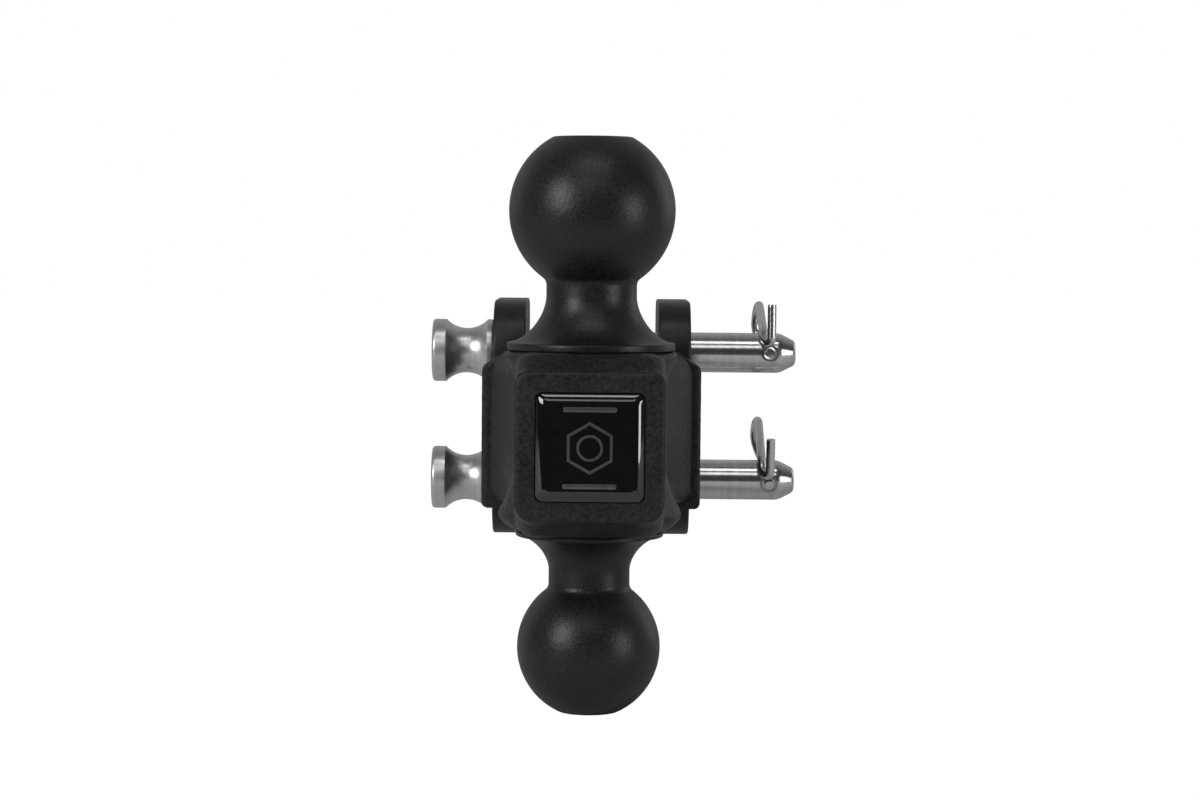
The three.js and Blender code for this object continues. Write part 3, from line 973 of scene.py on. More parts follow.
@dataclass
class CenterBlock:
    """The forged block: a square boss, hollow flutes at both sides, and a pad under each ball."""

    boss_half: float = 25.6 * MM
    boss_length: float = 14 * MM
    flute_power: float = 4.5
    top_rise: float = 15 * MM
    bottom_rise: float = 20 * MM
    top_fall: float = 49 * MM
    pad_top: float = 31.2 * MM
    pad_bottom: float = 32.9 * MM
    rear_top: float = 27.6 * MM
    rear_bottom: float = 30.6 * MM
    upper_foot: float = 29.7 * MM
    lower_foot: float = 26.2 * MM
    pocket_half: float = 18.7 * MM
    pocket_depth: float = 2.3 * MM
    upper_corner: Pair = (4 * MM, 10.5 * MM)
    lower_corner: Pair = (6.5 * MM, 4.5 * MM)
    upper_bore: float = 13.0 * MM
    lower_bore: float = 11.4 * MM
    front_chamfer: float = 0.8 * MM
    stations: int = 90
    voxel: float = 0.75 * MM
    soft_rise: Pair = (2 * MM, 9 * MM)
    soft_fall: Pair = (12 * MM, 6 * MM)
    soft_rounds: int = 40
    skin_depth: float = 0.1 * MM
    skin_scale: float = 420.0

    def section(self, y: float, inset: float) -> list[Vector]:
        """The block's outline at station y.

        Args:
            y: The station.
            inset: How far the outline is moved inwards.

        Returns:
            The outline's points.
        """
        low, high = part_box("center_block")
        start = low.y + self.boss_length
        back = min(1.0, max(0.0, (y - start) / (high.y - start)))
        fall = smoothstep(y, high.y - self.top_fall, high.y)
        front = mix(self.boss_half, self.pad_top, smoothstep(y, low.y, low.y + self.top_rise))
        under = mix(self.boss_half, self.pad_bottom,
                    smoothstep(y, low.y, low.y + self.bottom_rise))
        half = mix(self.boss_half, high.x, back ** self.flute_power) - inset
        top = mix(front, self.rear_top, fall) - inset
        bottom = mix(under, self.rear_bottom, fall) - inset
        upper, lower = mix(*self.upper_corner, back), mix(*self.lower_corner, back)
        outline = round_corners([(half, top, upper), (-half, top, upper),
                                 (-half, -bottom, lower), (half, -bottom, lower)], steps=10)
        return [Vector((x, y, z)) for x, z in outline]

    def upper_pad(self) -> list[Pair]:
        """The upper pad's half outline: a low rim that flows down into the block's sides.

        Returns:
            Points as (radius, height).
        """
        foot, face = self.upper_foot, self.pad_top
        return [(0.0, 0.0), (25.0 * MM, 0.0), (25.3 * MM, 12 * MM), (26.6 * MM, 20 * MM),
                (foot - 0.6 * MM, face - 5 * MM), (foot + 0.9 * MM, face - 3.2 * MM),
                (foot + 1.2 * MM, face - 1.8 * MM), (foot + 0.8 * MM, face - 0.8 * MM),
                (foot, face), (0.0, face)]

    def lower_pad(self) -> list[Pair]:
        """The lower pad's half outline: a sloped shoulder, a rim and an undercut waist.

        Returns:
            Points as (radius, height).
        """
        foot, face = self.lower_foot, self.pad_bottom
        rim = foot + 6.8 * MM
        return [(0.0, 0.0), (25.0 * MM, 0.0), (25.4 * MM, 7 * MM), (27.5 * MM, 14 * MM),
                (rim - 2.2 * MM, face - 9.5 * MM), (rim - 0.4 * MM, face - 7.3 * MM),
                (rim, face - 6.2 * MM), (rim - 0.5 * MM, face - 5 * MM),
                (foot + 4.4 * MM, face - 2.7 * MM), (foot, face), (0.0, face)]

    def build(self, shop: Shop) -> None:
        """Builds the block and dresses it.

        Args:
            shop: What the pieces are built with.
        """
        low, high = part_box("center_block")
        ball_y = sum(corner.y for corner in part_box("large_ball")) / 2
        start, length = low.y + self.front_chamfer, high.y - low.y - self.front_chamfer
        sections = [self.section(low.y, self.front_chamfer)]
        sections += [self.section(start + length * i / self.stations, 0.0)
                     for i in range(self.stations + 1)]
        solids = [loft("block", sections)]
        for outline, turn in ((self.upper_pad(), 0.0), (self.lower_pad(), math.pi)):
            line = [Vector((r, 0.0, h)) for r, h in outline]
            pad = cleaned(shop.rules.revolve.run("pad", line, shop.finishes["cast"], segments=96))
            solids.append(carry(pad, Matrix.Translation((0, ball_y, 0))
                                @ Matrix.Rotation(turn, 4, "Y")))
        mesh = fused(joined("center_block", solids), self.voxel, 2)
        rise = (low.y + self.soft_rise[0], low.y + self.soft_rise[1])
        fall = (high.y - self.soft_fall[0], high.y - self.soft_fall[1])
        mesh = softened(mesh, rise, fall, self.soft_rounds)
        mesh = roughened(mesh, self.skin_depth, self.skin_scale)
        mesh = cut(mesh, self.pocket(low.y), *self.bores(shop, ball_y))
        smooth_shaded(mesh, math.radians(50))
        shop.piece(mesh, "center_block_cast", "cast", Body.HITCH, Slot.CAST, "center_block")

    def pocket(self, front: float) -> bpy.types.Mesh:
        """The badge's seat in the boss, as a cutter.

        Args:
            front: Where the boss's face is along Y.

        Returns:
            The cutter.
        """
        half = self.pocket_half
        outline = round_corners([(half, half, 2.5 * MM), (-half, half, 2.5 * MM),
                                 (-half, -half, 2.5 * MM), (half, -half, 2.5 * MM)])
        seat = plate("pocket", outline, self.pocket_depth + 5 * MM, 0.2 * MM)
        return carry(seat, Matrix.Translation((0, front + self.pocket_depth, 0))
                     @ Matrix.Rotation(math.pi / 2, 4, "X"))

    def bores(self, shop: Shop, ball_y: float) -> list[bpy.types.Mesh]:
        """The blind bores that the balls' spigots enter, as cutters.

        Args:
            shop: What the pieces are built with.
            ball_y: Where the balls' axis is along Y.

        Returns:
            The cutters.
        """
        made = []
        for node, radius, sign in (("large_ball", self.upper_bore, 1),
                                   ("small_ball", self.lower_bore, -1)):
            low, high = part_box(node)
            end = low.z - 1 * MM if sign > 0 else high.z + 1 * MM
            mouth = sign * (self.pad_bottom + 2 * MM)
            foot, head = min(end, mouth), max(end, mouth)
            line = [Vector((r, 0.0, h)) for r, h in
                    ((0, foot), (radius, foot), (radius, head), (0, head))]
            bore = cleaned(shop.rules.revolve.run("bore", line, shop.finishes["cast"], segments=72))
            made.append(carry(bore, Matrix.Translation((0, ball_y, 0))))
        return made


@dataclass
class ChannelFrame:
    """The back plate and the two cheeks that slide over the drop bar, with their welds."""

    plate_side_top: float = 21 * MM
    plate_shoulder: float = 31 * MM
    front_corner: float = 20 * MM
    rear_corner: float = 9 * MM
    bore_radius: float = 8.34 * MM
    bore_chamfer: float = 0.6 * MM
    seat_gap: float = 0.3 * MM
    cut_past: float = 5 * MM
    plate_corner: float = 2 * MM
    casting_edge: float = 0.9 * MM
    skin_depth: float = 0.07 * MM
    skin_scale: float = 380.0
    weld_radius: float = 2.0 * MM
    weld_inset: float = 1.25 * MM
    weld_pitch: float = 1.25 * MM

    def build(self, shop: Shop) -> None:
        """Builds the plate, the cheeks and their welds, and dresses them.

        Args:
            shop: What the pieces are built with.
        """
        self.build_plate(shop)
        for side in ("left", "right"):
            self.build_cheek(shop, side)
            self.build_weld(shop, side)

    def build_plate(self, shop: Shop) -> None:
        """The plate that closes the channel, with a sloped shoulder at each side.

        Args:
            shop: What the pieces are built with.
        """
        low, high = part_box("back_plate")
        corner = self.plate_corner
        outline = round_corners([
            (high.x, low.z, corner), (high.x, self.plate_side_top, corner),
            (self.plate_shoulder, high.z, 3 * corner), (-self.plate_shoulder, high.z, 3 * corner),
            (-high.x, self.plate_side_top, corner), (-high.x, low.z, corner)])
        mesh = plate("back_plate", outline, high.y - low.y, self.casting_edge)
        carry(mesh, Matrix.Rotation(math.pi / 2, 4, "X"))
        mesh = fused(mesh, 0.9 * MM, 2)
        mesh = roughened(mesh, self.skin_depth, self.skin_scale)
        mesh = cut(mesh, *[self.seat_cutter(side) for side in ("left", "right")])
        smooth_shaded(mesh)
        shop.piece(mesh, "back_plate_cast", "cast", Body.HITCH, Slot.CAST, "back_plate")

    def seat_cutter(self, side: str) -> bpy.types.Mesh:
        """The groove in the plate's rear face that a cheek's front edge stands in, as a cutter.

        Args:
            side: "left" or "right".

        Returns:
            The cutter.
        """
        low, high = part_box(side + "_cheek")
        gap = self.seat_gap
        outline = [(low.x - gap, low.z), (high.x + gap, low.z),
                   (high.x + gap, high.z), (low.x - gap, high.z)]
        floor = low.y - gap
        groove = plate("seat", outline, 2 * -floor, 0.1 * MM)
        return carry(groove, Matrix.Translation((0, -floor, 0))
                     @ Matrix.Rotation(math.pi / 2, 4, "X"))

    def build_cheek(self, shop: Shop, side: str) -> None:
        """A cheek with both pin bores.

        Args:
            shop: What the pieces are built with.
            side: "left" or "right".
        """
        node = side + "_cheek"
        low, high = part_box(node)
        front, rear = self.front_corner, self.rear_corner
        outline = round_corners([
            (high.y, low.z, rear), (high.y, high.z, rear), (low.y, high.z, front),
            (low.y, low.z, front)], steps=14)
        mesh = plate(node, outline, high.x - low.x, self.casting_edge)
        upright = Matrix(((0, 0, 1, low.x), (1, 0, 0, 0), (0, 1, 0, 0), (0, 0, 0, 1)))
        carry(mesh, upright)
        bores = [self.bore_cutter(shop, pin, low.x, high.x) for pin in ("upper", "lower")]
        mesh = cut(cleaned(mesh), self.edge_cutter(low, high), *bores)
        smooth_shaded(mesh)
        shop.piece(mesh, node + "_coated", "coat", Body.HITCH, Slot.COAT, node)

    def edge_cutter(self, low: Vector, high: Vector) -> bpy.types.Mesh:
        """A wedge that chamfers a cheek's inner front edge, down from the plate's face.

        Args:
            low: The cheek's lowest corner.
            high: The cheek's highest corner.

        Returns:
            The cutter.
        """
        sign = -1 if low.x < 0 else 1
        inner = low.x if sign > 0 else high.x
        past, gap = self.cut_past, self.seat_gap
        outline = [(inner - sign * past, gap + past), (inner - sign * past, gap - past),
                   (inner + sign * past, gap - past)]
        wedge = plate("edge", outline[::sign], high.z - low.z + 2 * past, 0.05 * MM)
        return carry(wedge, Matrix.Translation((0, 0, low.z - past)))

    def bore_cutter(self, shop: Shop, pin: str, start: float, end: float) -> bpy.types.Mesh:
        """A pin bore with a chamfer at both mouths, as a cutter from x = start to end.

        Args:
            shop: What the pieces are built with.
            pin: "upper" or "lower".
            start: The bore's left end.
            end: The bore's right end.

        Returns:
            The cutter.
        """
        past, radius, chamfer = 1 * MM, self.bore_radius, self.bore_chamfer
        wide = radius + chamfer + past
        line = [(0, start - past), (wide, start - past), (radius, start + chamfer),
                (radius, end - chamfer), (wide, end + past), (0, end + past)]
        mesh = shop.rules.revolve.run("bore", [Vector((r, 0.0, h)) for r, h in line],
                                      shop.finishes["coat"], segments=96)
        return carry(cleaned(mesh), Matrix.Translation(pin_axis(pin))
                     @ Matrix.Rotation(math.pi / 2, 4, "Y"))

    def build_weld(self, shop: Shop, side: str) -> None:
        """The rippled fillet bead between a cheek and the plate.

        Args:
            shop: What the pieces are built with.
            side: "left" or "right".
        """
        node = side + "_cheek_weld"
        low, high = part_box(node)
        sign = -1 if side == "left" else 1
        inner = low.x if side == "right" else high.x
        radius, inset = self.weld_radius, self.weld_inset
        spot = Vector((inner + sign * inset, low.y + inset, 0.0))
        line = [spot + Vector((0, 0, z)) for z in (low.z + radius / 2, high.z - radius / 2)]
        mesh = shop.rules.bead.run(node, line, shop.finishes["coat"], radius=radius,
                                   pitch=self.weld_pitch, seed=3 if side == "left" else 8)
        mesh = fused(mesh, 0.3 * MM, 1)
        mesh = trimmed(mesh, Vector((inner, 0, 0)), Vector((sign, 0, 0)))
        mesh = trimmed(mesh, Vector((0, low.y, 0)), Vector((0, 1, 0)))
        smooth_shaded(mesh)
        shop.piece(mesh, node + "_bead", "coat", Body.HITCH, Slot.COAT, node)


def trimmed(mesh: bpy.types.Mesh, point: Vector, keep: Vector) -> bpy.types.Mesh:
    """The part of a closed mesh on the `keep` side of a plane, closed again.

    Args:
        mesh: The mesh.
        point: A point on the plane.
        keep: The plane's normal, towards what is kept.

    Returns:
        The same mesh.
    """
    bm = bmesh.new()
    bm.from_mesh(mesh)
    parts = bm.verts[:] + bm.edges[:] + bm.faces[:]
    made = bmesh.ops.bisect_plane(bm, geom=parts, plane_co=point, plane_no=keep, clear_inner=True)
    rim = [e for e in made["geom_cut"] if isinstance(e, bmesh.types.BMEdge)]
    bmesh.ops.holes_fill(bm, edges=rim)
    bmesh.ops.recalc_face_normals(bm, faces=bm.faces)
    bm.to_mesh(mesh)
    bm.free()
    return mesh


def pin_axis(which: str) -> Vector:
    """A point on the upper or lower pin's axis, at x = 0."""
    low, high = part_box(which + "_pin")
    return Vector((0.0, (low.y + high.y) / 2, (low.z + high.z) / 2))


@dataclass
class CrossPin:
    """A turned cross pin with a spool knob, and the spring clip that keeps it in."""

    which: str
    spin: float
    pin_body: Body
    clip_body: Body
    shank_radius: float = 7.9375 * MM
    knob_length: float = 24.7 * MM
    waist_radius: float = 8.85 * MM
    groove_half: float = 8.2 * MM
    groove_centre: float = 11.1 * MM
    rim_edge: float = 1.3 * MM
    chamfer_length: float = 6.4 * MM
    tip_radius: float = 4.7 * MM
    nose_bend: float = 7 * MM
    nose_round: float = 2.2 * MM
    hole_x: float = 70.8 * MM
    hole_radius: float = 2.6 * MM
    wire_radius: float = 1.75 * MM
    leg_front: float = -9.2 * MM
    bow_y: float = 24 * MM
    bow_radius: float = 9.15 * MM
    lead: float = 3.0 * MM
    rear_lead: float = 3.9 * MM
    cradle_gap: float = 0.25 * MM
    cradle_end: float = math.radians(135)
    tip_y: float = -12.2 * MM
    tip_low: float = 6.7 * MM
    tip_top: float = 19.6 * MM
    turn_pull: float = 3.2 * MM

    def place(self) -> Matrix:
        """From the pin's own frame, on its axis, to the model's."""
        return Matrix.Translation(pin_axis(self.which)) @ Matrix.Rotation(self.spin, 4, "X")

    def profile(self) -> list[Pair]:
        """The pin's half outline from the knob's end to the tip, as (radius, x).

        Returns:
            The outline's points.
        """
        low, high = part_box(self.which + "_pin")
        knob = (high.y - low.y) / 2
        start, edge = low.x, self.rim_edge
        face = start + self.knob_length
        groove_x = face - self.groove_centre
        depth = knob - self.waist_radius
        radius = (self.groove_half ** 2 + depth ** 2) / (2 * depth)
        sweep = math.asin(self.groove_half / radius)
        groove = [(self.waist_radius + radius - lift, x) for x, lift in
                  arc((groove_x, 0.0), radius, math.pi / 2 + sweep, math.pi / 2 - sweep, 40)]
        bend = high.x - self.chamfer_length
        nose = round_corners([(bend, 0.0, 0.0), (bend - 6 * MM, self.shank_radius, 0.0),
                              (bend, self.shank_radius, self.nose_bend),
                              (high.x, self.tip_radius, self.nose_round),
                              (high.x, 0.0, 0.0)], steps=10)[2:]
        return [(0.0, start), *[(knob - edge + r, start + edge + x) for x, r in
                                arc((0.0, 0.0), edge, math.pi, math.pi / 2, 5)],
                *groove, *[(knob - edge + r, face - edge + x) for x, r in
                           arc((0.0, 0.0), edge, math.pi / 2, 0.0, 5)],
                (self.shank_radius, face), *[(r, x) for x, r in nose]]

    def build(self, shop: Shop) -> None:
        """Builds the pin and its clip, and dresses them.

        Args:
            shop: What the pieces are built with.
        """
        line = [Vector((r, 0.0, x)) for r, x in self.profile()]
        pin, clip = self.which + "_pin", self.which + "_clip"
        mesh = cleaned(shop.rules.revolve.run(pin, line, shop.finishes[pin], segments=128))
        carry(mesh, Matrix.Rotation(math.pi / 2, 4, "Y"))
        mesh = cut(mesh, self.hole_cutter(shop))
        carry(mesh, self.place())
        smooth_shaded(mesh, math.radians(35))
        shop.piece(mesh, pin + "_turned", pin, self.pin_body, Slot.STAINLESS, pin)
        wire = shop.rules.wire.run(clip, self.clip_path(), shop.finishes["wire"],
                                   radius=self.wire_radius, sides=28)
        wire = modified(cleaned(wire), "BEVEL", width=0.35 * MM, segments=3, limit_method="ANGLE",
                        angle_limit=math.radians(60))
        carry(wire, self.place())
        smooth_shaded(wire)
        shop.piece(wire, clip + "_wire", "wire", self.clip_body, Slot.WIRE, clip)

    def hole_cutter(self, shop: Shop) -> bpy.types.Mesh:
        """The clip hole, flared where it meets the round shank, as a cutter.

        Args:
            shop: What the pieces are built with.

        Returns:
            The cutter.
        """
        reach, flare = self.shank_radius + 1 * MM, 2.2 * MM
        wide = self.hole_radius + flare
        outline = [(0, -reach), (wide, -reach), (self.hole_radius, -reach + flare),
                   (self.hole_radius, reach - flare), (wide, reach), (0, reach)]
        mesh = shop.rules.revolve.run("hole", [Vector((r, 0.0, h)) for r, h in outline],
                                      shop.finishes["wire"], segments=64)
        return carry(cleaned(mesh), Matrix.Translation((self.hole_x, 0, 0))
                     @ Matrix.Rotation(math.pi / 2, 4, "X"))

    def clip_path(self) -> list[Vector]:
        """The wire's centre line in the pin's frame: leg, bow, cradle, hairpin turn and tip.

        Returns:
            The line's points.
        """
        cradle_radius = self.shank_radius + self.wire_radius + self.cradle_gap
        reach = math.hypot(self.bow_y, self.bow_radius)
        leave = (math.atan2(self.bow_radius, self.bow_y)
                 + math.acos((cradle_radius - self.bow_radius) / reach))

        def at(x: float, spot: Pair) -> Vector:
            """A point beside the clip hole."""
            return Vector((self.hole_x + x, spot[0], spot[1]))

        leg = [at(0.0, (mix(self.leg_front, self.bow_y, i / 12), 0.0)) for i in range(12)]
        steps = 48
        bow = []
        for i, spot in enumerate(arc((self.bow_y, self.bow_radius), self.bow_radius, -math.pi / 2,
                                     leave, steps)):
            share = i / steps
            rear = self.rear_lead * smoothstep(share, 0.0, 0.5)
            side = mix(rear, self.lead, smoothstep(share, 0.5, 1.0))
            bow.append(at(-side, spot))
        cradle = [at(-self.lead, spot) for spot in
                  arc((0.0, 0.0), cradle_radius, leave, self.cradle_end, 20)]
        last = cradle[-1]
        foot = at(0.0, (self.tip_y, self.tip_low))
        heading = Vector((0.0, -math.sin(self.cradle_end), math.cos(self.cradle_end)))
        turn = self.hairpin(last, heading, foot)
        tip = [Vector((foot.x, foot.y, mix(foot.z, self.tip_top, i / 10))) for i in range(1, 11)]
        return leg + bow + cradle + turn + tip

    def hairpin(self, start: Vector, heading: Vector, end: Vector) -> list[Vector]:
        """A tight turn from start, leaving along heading, to end, arriving straight up.

        Args:
            start: The turn's first point.
            heading: The direction that it leaves in.
            end: Its last point.

        Returns:
            The points after start.
        """
        a, b = start + heading * self.turn_pull, end - Vector((0, 0, self.turn_pull))
        points = []
        for i in range(1, 21):
            t = i / 20
            s = 1 - t
            points.append(start * s ** 3 + a * 3 * s * s * t + b * 3 * s * t * t + end * t ** 3)
        return points


@dataclass
class Badge:
    """The badge in the boss: a backing plate, a dome with a rolled edge and a plain raised device."""

    half: float = 18.3 * MM
    corner: float = 2.5 * MM
    rim: float = 1.3 * MM
    roll: float = 3.6 * MM
    hexagon: Pair = (9.0 * MM, 7.7 * MM)
    circle: Pair = (4.6 * MM, 3.5 * MM)
    bar_half: Pair = (9 * MM, 0.8 * MM)
    bar_height: float = 13.0 * MM
    device_tall: float = 0.3 * MM
    device_depth: float = 0.18 * MM

    def ring(self, inset: float, y: float) -> list[Vector]:
        """A rounded square at depth y.

        Args:
            inset: How far it is moved inwards.
            y: The depth.

        Returns:
            Its points.
        """
        half, radius = self.half - inset, max(self.corner - inset * 0.3, 1.2 * MM)
        outline = round_corners([(half, half, radius), (-half, half, radius),
                                 (-half, -half, radius), (half, -half, radius)], steps=8)
        return [Vector((x, y, z)) for x, z in outline]

    def build(self, shop: Shop) -> None:
        """Builds the plate, the dome and the device, and dresses them.

        Args:
            shop: What the pieces are built with.
        """
        low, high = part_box("badge_plate")
        edge = 0.15 * MM
        backing = loft("badge_plate", [self.ring(edge, low.y), self.ring(0.0, low.y + edge),
                                       self.ring(0.0, high.y - edge), self.ring(edge, high.y)])
        smooth_shaded(backing)
        shop.piece(backing, "badge_backing", "badge_metal", Body.HITCH, Slot.BADGE_METAL,
                   "badge_plate")
        self.build_dome(shop)
        self.build_device(shop)

    def dome_front(self, inset: float) -> float:
        """How far the dome's face stands in front of its back, at a distance in from its side.

        Args:
            inset: The distance in.

        Returns:
            The height.
        """
        low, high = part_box("badge_dome")
        share = min(1.0, inset / self.roll)
        return mix(self.rim, high.y - low.y, math.sin(math.pi / 2 * share) ** 0.9)

    def build_dome(self, shop: Shop) -> None:
        """The poured resin dome, with a broad rolled edge round a flat face.

        Args:
            shop: What the pieces are built with.
        """
        _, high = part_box("badge_dome")
        insets = [self.roll * (i / 16) ** 1.3 for i in range(17)]
        insets += [self.roll + 0.3 * MM, self.roll + 0.6 * MM]
        rings = [self.ring(0.0, high.y)]
        rings += [self.ring(inset, high.y - self.dome_front(inset)) for inset in insets]
        mesh = loft("badge_dome", rings)
        smooth_shaded(mesh)
        shop.piece(mesh, "badge_dome_resin", "resin", Body.HITCH, Slot.BADGE, "badge_dome")

    def build_device(self, shop: Shop) -> None:
        """A plain six-sided band round a ring, with a bar above and below.

        Args:
            shop: What the pieces are built with.
        """
        low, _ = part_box("badge_dome")
        tall, edge = self.device_tall, 0.1 * MM
        shapes = []
        for sides, (outer, inner) in ((6, self.hexagon), (64, self.circle)):
            turns = [TURN * i / sides for i in range(sides)]
            rings = []
            for radius, z in ((outer, 0), (outer - edge, tall), (inner + edge, tall), (inner, 0)):
                rings.append([Vector((radius * math.sin(a), radius * math.cos(a), z)) for a in turns])
            shapes.append(self.closed_band(rings))
        wide, thin = self.bar_half
        for height in (-self.bar_height, self.bar_height):
            outline = round_corners([(x, z, 0.5 * MM) for x, z in
                                     ((wide, thin), (-wide, thin), (-wide, -thin), (wide, -thin))])
            bar = plate("bar", outline, tall, edge)
            shapes.append(carry(bar, Matrix.Translation((0, height, 0))))
        mesh = joined("badge_device", shapes)
        stand = low.y + self.device_depth
        carry(mesh, Matrix.Translation((0, stand, 0)) @ Matrix.Rotation(math.pi / 2, 4, "X"))
        cleaned(mesh)
        smooth_shaded(mesh, math.radians(30))
        shop.piece(mesh, "badge_device", "badge_metal", Body.HITCH, Slot.BADGE_METAL, "badge_ring")

    def closed_band(self, rings: list[list[Vector]]) -> bpy.types.Mesh:
        """A ring-shaped solid from rings that follow each other and close on the first.

        Args:
            rings: The rings in order.

        Returns:
            The mesh.
        """
        bm = bmesh.new()
        rows = [[bm.verts.new(p) for p in ring] for ring in rings]
        count = len(rows[0])
        for k, row in enumerate(rows):
            after = rows[(k + 1) % len(rows)]
            for i in range(count):
                j = (i + 1) % count
                bm.faces.new((row[i], row[j], after[j], after[i]))
        bmesh.ops.recalc_face_normals(bm, faces=bm.faces)
        mesh = bpy.data.meshes.new("band")
        bm.to_mesh(mesh)
        bm.free()
        return mesh


# ---------------------------------------------------------------- stage


@dataclass(frozen=True)
class Lamp:
    """A soft box that faces the object.

    Its azimuth counts in degrees from the front towards +X and its elevation from the horizon.
    The distance, width and height are in metres, and the power is in watts.
    """

    name: str
    azimuth: float
    elevation: float
    distance: float
    width: float
    height: float
    power: float

    def build(self, target: Vector) -> None:
        """Hangs the lamp so that it faces the target.

        Args:
            target: The point that it faces.
        """
        a, e = math.radians(self.azimuth), math.radians(self.elevation)
        way = Vector((math.sin(a) * math.cos(e), -math.cos(a) * math.cos(e), math.sin(e)))
        data = bpy.data.lights.new(self.name, "AREA")
        data.shape = "RECTANGLE"
        data.size, data.size_y = self.width, self.height
        data.energy = self.power
        made = bpy.data.objects.new(self.name, data)
        made.location = target + way * self.distance
        made.rotation_euler = (-way).to_track_quat("-Z", "Y").to_euler()
        bpy.context.scene.collection.objects.link(made)


@dataclass
class Studio:
    """The pale floor, the soft lights and the camera."""

    lens: float = 81.0
    camera_place: Vector = Vector((3.3 * MM, -1044.6 * MM, 71.8 * MM))
    pitch: float = math.radians(3.5)
    roll: float = math.radians(0.55)
    apron: float = 0.6
    floor_size: float = 6.0
    front_light: float = 0.04
    rear_light: float = 0.34
    lamps: tuple[Lamp, ...] = (
        Lamp("key", -45.0, 20.0, distance=1.5, width=0.6, height=0.75, power=9.4),
        Lamp("fill", 57.0, 5.0, distance=1.5, width=0.35, height=0.6, power=4.2),
        Lamp("crown", 0.0, 40.0, distance=1.5, width=0.9, height=0.35, power=1.4),
        Lamp("top", 0.0, 66.0, distance=1.3, width=0.9, height=0.2, power=1.8),
        Lamp("back_right", 125.0, 12.0, distance=1.6, width=0.5, height=1.0, power=1.2),
        Lamp("back_left", -125.0, 12.0, distance=1.6, width=0.5, height=1.0, power=0.3))

    def build(self) -> None:
        """Builds the stage round the object."""
        self.build_floor()
        for lamp in self.lamps:
            lamp.build(Vector((0.0, -0.06, 0.02)))
        self.build_camera()
        self.build_world()
        bpy.context.scene.view_settings.view_transform = "Standard"

    def build_floor(self) -> None:
        """A pale sweep that the small ball stands on."""
        low, _ = CAD_BOX
        size = self.floor_size
        bm = bmesh.new()
        verts = [bm.verts.new((x, y, low.z - 0.2 * MM)) for x, y in
                 ((-size, -self.apron), (size, -self.apron), (size, size), (-size, size))]
        bm.faces.new(verts)
        mesh = bpy.data.meshes.new("floor")
        bm.to_mesh(mesh)
        bm.free()
        s = Surface("floor_paper", roughness=0.9, specular_ior_level=0.1)
        s.shader.inputs["Base Color"].default_value = (0.82, 0.82, 0.82, 1.0)
        light = s.node("ShaderNodeLightPath")
        glow = s.node("ShaderNodeEmission", {"Color": (1.0, 1.0, 1.0, 1.0), "Strength": 1.12})
        seen = s.math("MULTIPLY", light.outputs["Is Camera Ray"], 0.9)
        both = s.node("ShaderNodeMixShader", {0: seen, 1: s.shader.outputs[0], 2: glow.outputs[0]})
        output = next(n for n in s.tree.nodes if n.type == "OUTPUT_MATERIAL")
        s.feed(output.inputs["Surface"], both.outputs[0])
        mesh.materials.append(s.material)
        placed(mesh, "floor")

    def build_world(self) -> None:
        """Soft light, dim in front and brighter behind, seen as white by the camera."""
        world = bpy.data.worlds.new("studio")
        bpy.context.scene.world = world
        world.use_nodes = True
        t = Tree(world.node_tree)
        light = t.node("ShaderNodeLightPath")
        heading = t.node("ShaderNodeTexCoord").outputs["Generated"]
        way = t.node("ShaderNodeSeparateXYZ", {"Vector": heading})
        around = t.node("ShaderNodeMapRange", {"Value": way.outputs["Y"], "From Min": -0.35,
                                               "From Max": 0.7, "To Min": self.front_light,
                                               "To Max": self.rear_light})
        strength = t.node("ShaderNodeMapRange", {"Value": light.outputs["Is Camera Ray"],
                                                 "To Min": around.outputs["Result"], "To Max": 1.0})
        sky = t.node("ShaderNodeBackground", {"Color": (1.0, 1.0, 1.0, 1.0),
                                              "Strength": strength.outputs["Result"]})
        t.node("ShaderNodeOutputWorld", {"Surface": sky.outputs[0]})

    def build_camera(self) -> None:
        """The camera, level with the large ball and tipped a little down."""
        data = bpy.data.cameras.new("camera")
        data.lens = self.lens
        data.sensor_width = 36.0
        made = bpy.data.objects.new("camera", data)
        made.matrix_world = (Matrix.Translation(self.camera_place)
                             @ Matrix.Rotation(math.pi / 2 - self.pitch, 4, "X")
                             @ Matrix.Rotation(self.roll, 4, "Z"))
        bpy.context.scene.collection.objects.link(made)
        bpy.context.scene.camera = made


# ---------------------------------------------------------------- assembly


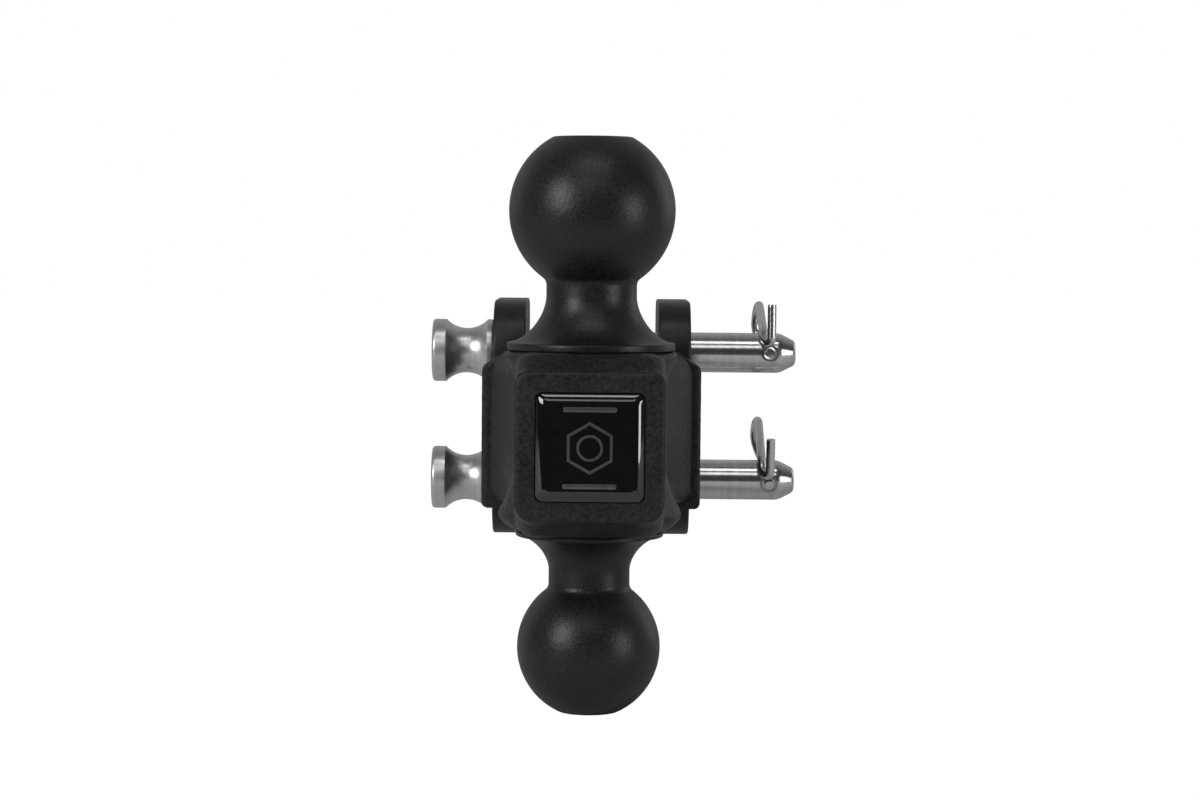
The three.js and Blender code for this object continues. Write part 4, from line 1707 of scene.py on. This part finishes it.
def build_finishes() -> dict[str, bpy.types.Material]:
    """Every finish of the object, by name.

    Returns:
        The materials.
    """
    effects = Effects(coat_grain_group(), turning_marks_group(), edge_highlight_and_wear_group())
    knob_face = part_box("left_cheek")[0].x
    finishes = {
        # Both coats lighten their convex edges, faintly on the powder coat and strongly on the cast
        # coat: a painted edge highlight, with some wear.
        "coat": CoatFinish(
            "powder_coat", dark=(0.006, 0.006, 0.0063), light=(0.019, 0.019, 0.0195), smooth=0.34,
            rough=0.42, grain_scale=950.0, lump_scale=420.0, lump_share=0.3, depth=0.12 * MM,
            edge_highlight_and_wear=0.1, gloss=0.42),
        "cast": CoatFinish(
            "cast_coat", dark=(0.008, 0.008, 0.0083), light=(0.036, 0.036, 0.037), smooth=0.36,
            rough=0.52, grain_scale=800.0, lump_scale=300.0, lump_share=0.35, depth=0.3 * MM,
            edge_highlight_and_wear=0.8, gloss=0.26)}
    for which in ("upper", "lower"):
        finishes[which + "_pin"] = SteelFinish(
            "turned_steel_" + which, dark=(0.62, 0.62, 0.625), light=(0.82, 0.82, 0.825),
            smooth=0.16, rough=0.22, pitch_scale=3000.0, depth=0.004 * MM, axis=pin_axis(which),
            satin_end=knob_face, satin=0.16)
    finishes["wire"] = SteelFinish(
        "spring_wire", dark=(0.62, 0.62, 0.625), light=(0.78, 0.78, 0.785), smooth=0.2, rough=0.3,
        pitch_scale=1500.0, depth=0.004 * MM, axis=pin_axis("upper"))
    finishes["resin"] = GlossFinish("badge_resin", (0.0025, 0.0025, 0.0028))
    finishes["badge_metal"] = SteelFinish(
        "badge_metal", dark=(0.2, 0.2, 0.205), light=(0.3, 0.3, 0.305), smooth=0.28, rough=0.4,
        pitch_scale=2200.0, depth=0.004 * MM, axis=Vector((0.0, 0.0, 0.0)))
    return {name: finish.build(effects) for name, finish in finishes.items()}


def main() -> None:
    """Builds the object and its stage."""
    logging.basicConfig(level=logging.INFO, format="%(name)s: %(message)s")
    shop = Shop(Rules(revolve_rule(), wire_rule(), bead_rule()), build_finishes())
    Studio().build()
    HitchBall("large_ball", radius=29.37 * MM, centre=80.3 * MM, flat=25.9 * MM,
              neck_radius=16 * MM, neck_base=50 * MM, foot_radius=29.7 * MM, foot_face=33.9 * MM,
              foot_base=31.5 * MM, spigot_radius=12.7 * MM).build(shop)
    HitchBall("small_ball", radius=25.4 * MM, centre=74.3 * MM, flat=23 * MM,
              neck_radius=14.4 * MM, neck_base=46.5 * MM, foot_radius=26.2 * MM,
              foot_face=34.6 * MM, foot_base=33.2 * MM, spigot_radius=11.1 * MM,
              flipped=True).build(shop)
    CenterBlock().build(shop)
    ChannelFrame().build(shop)
    CrossPin("upper", 0.0, Body.UPPER_PIN, Body.UPPER_CLIP).build(shop)
    CrossPin("lower", math.radians(9.5), Body.LOWER_PIN, Body.LOWER_CLIP).build(shop)
    Badge().build(shop)


if __name__ == "__main__":
    main()
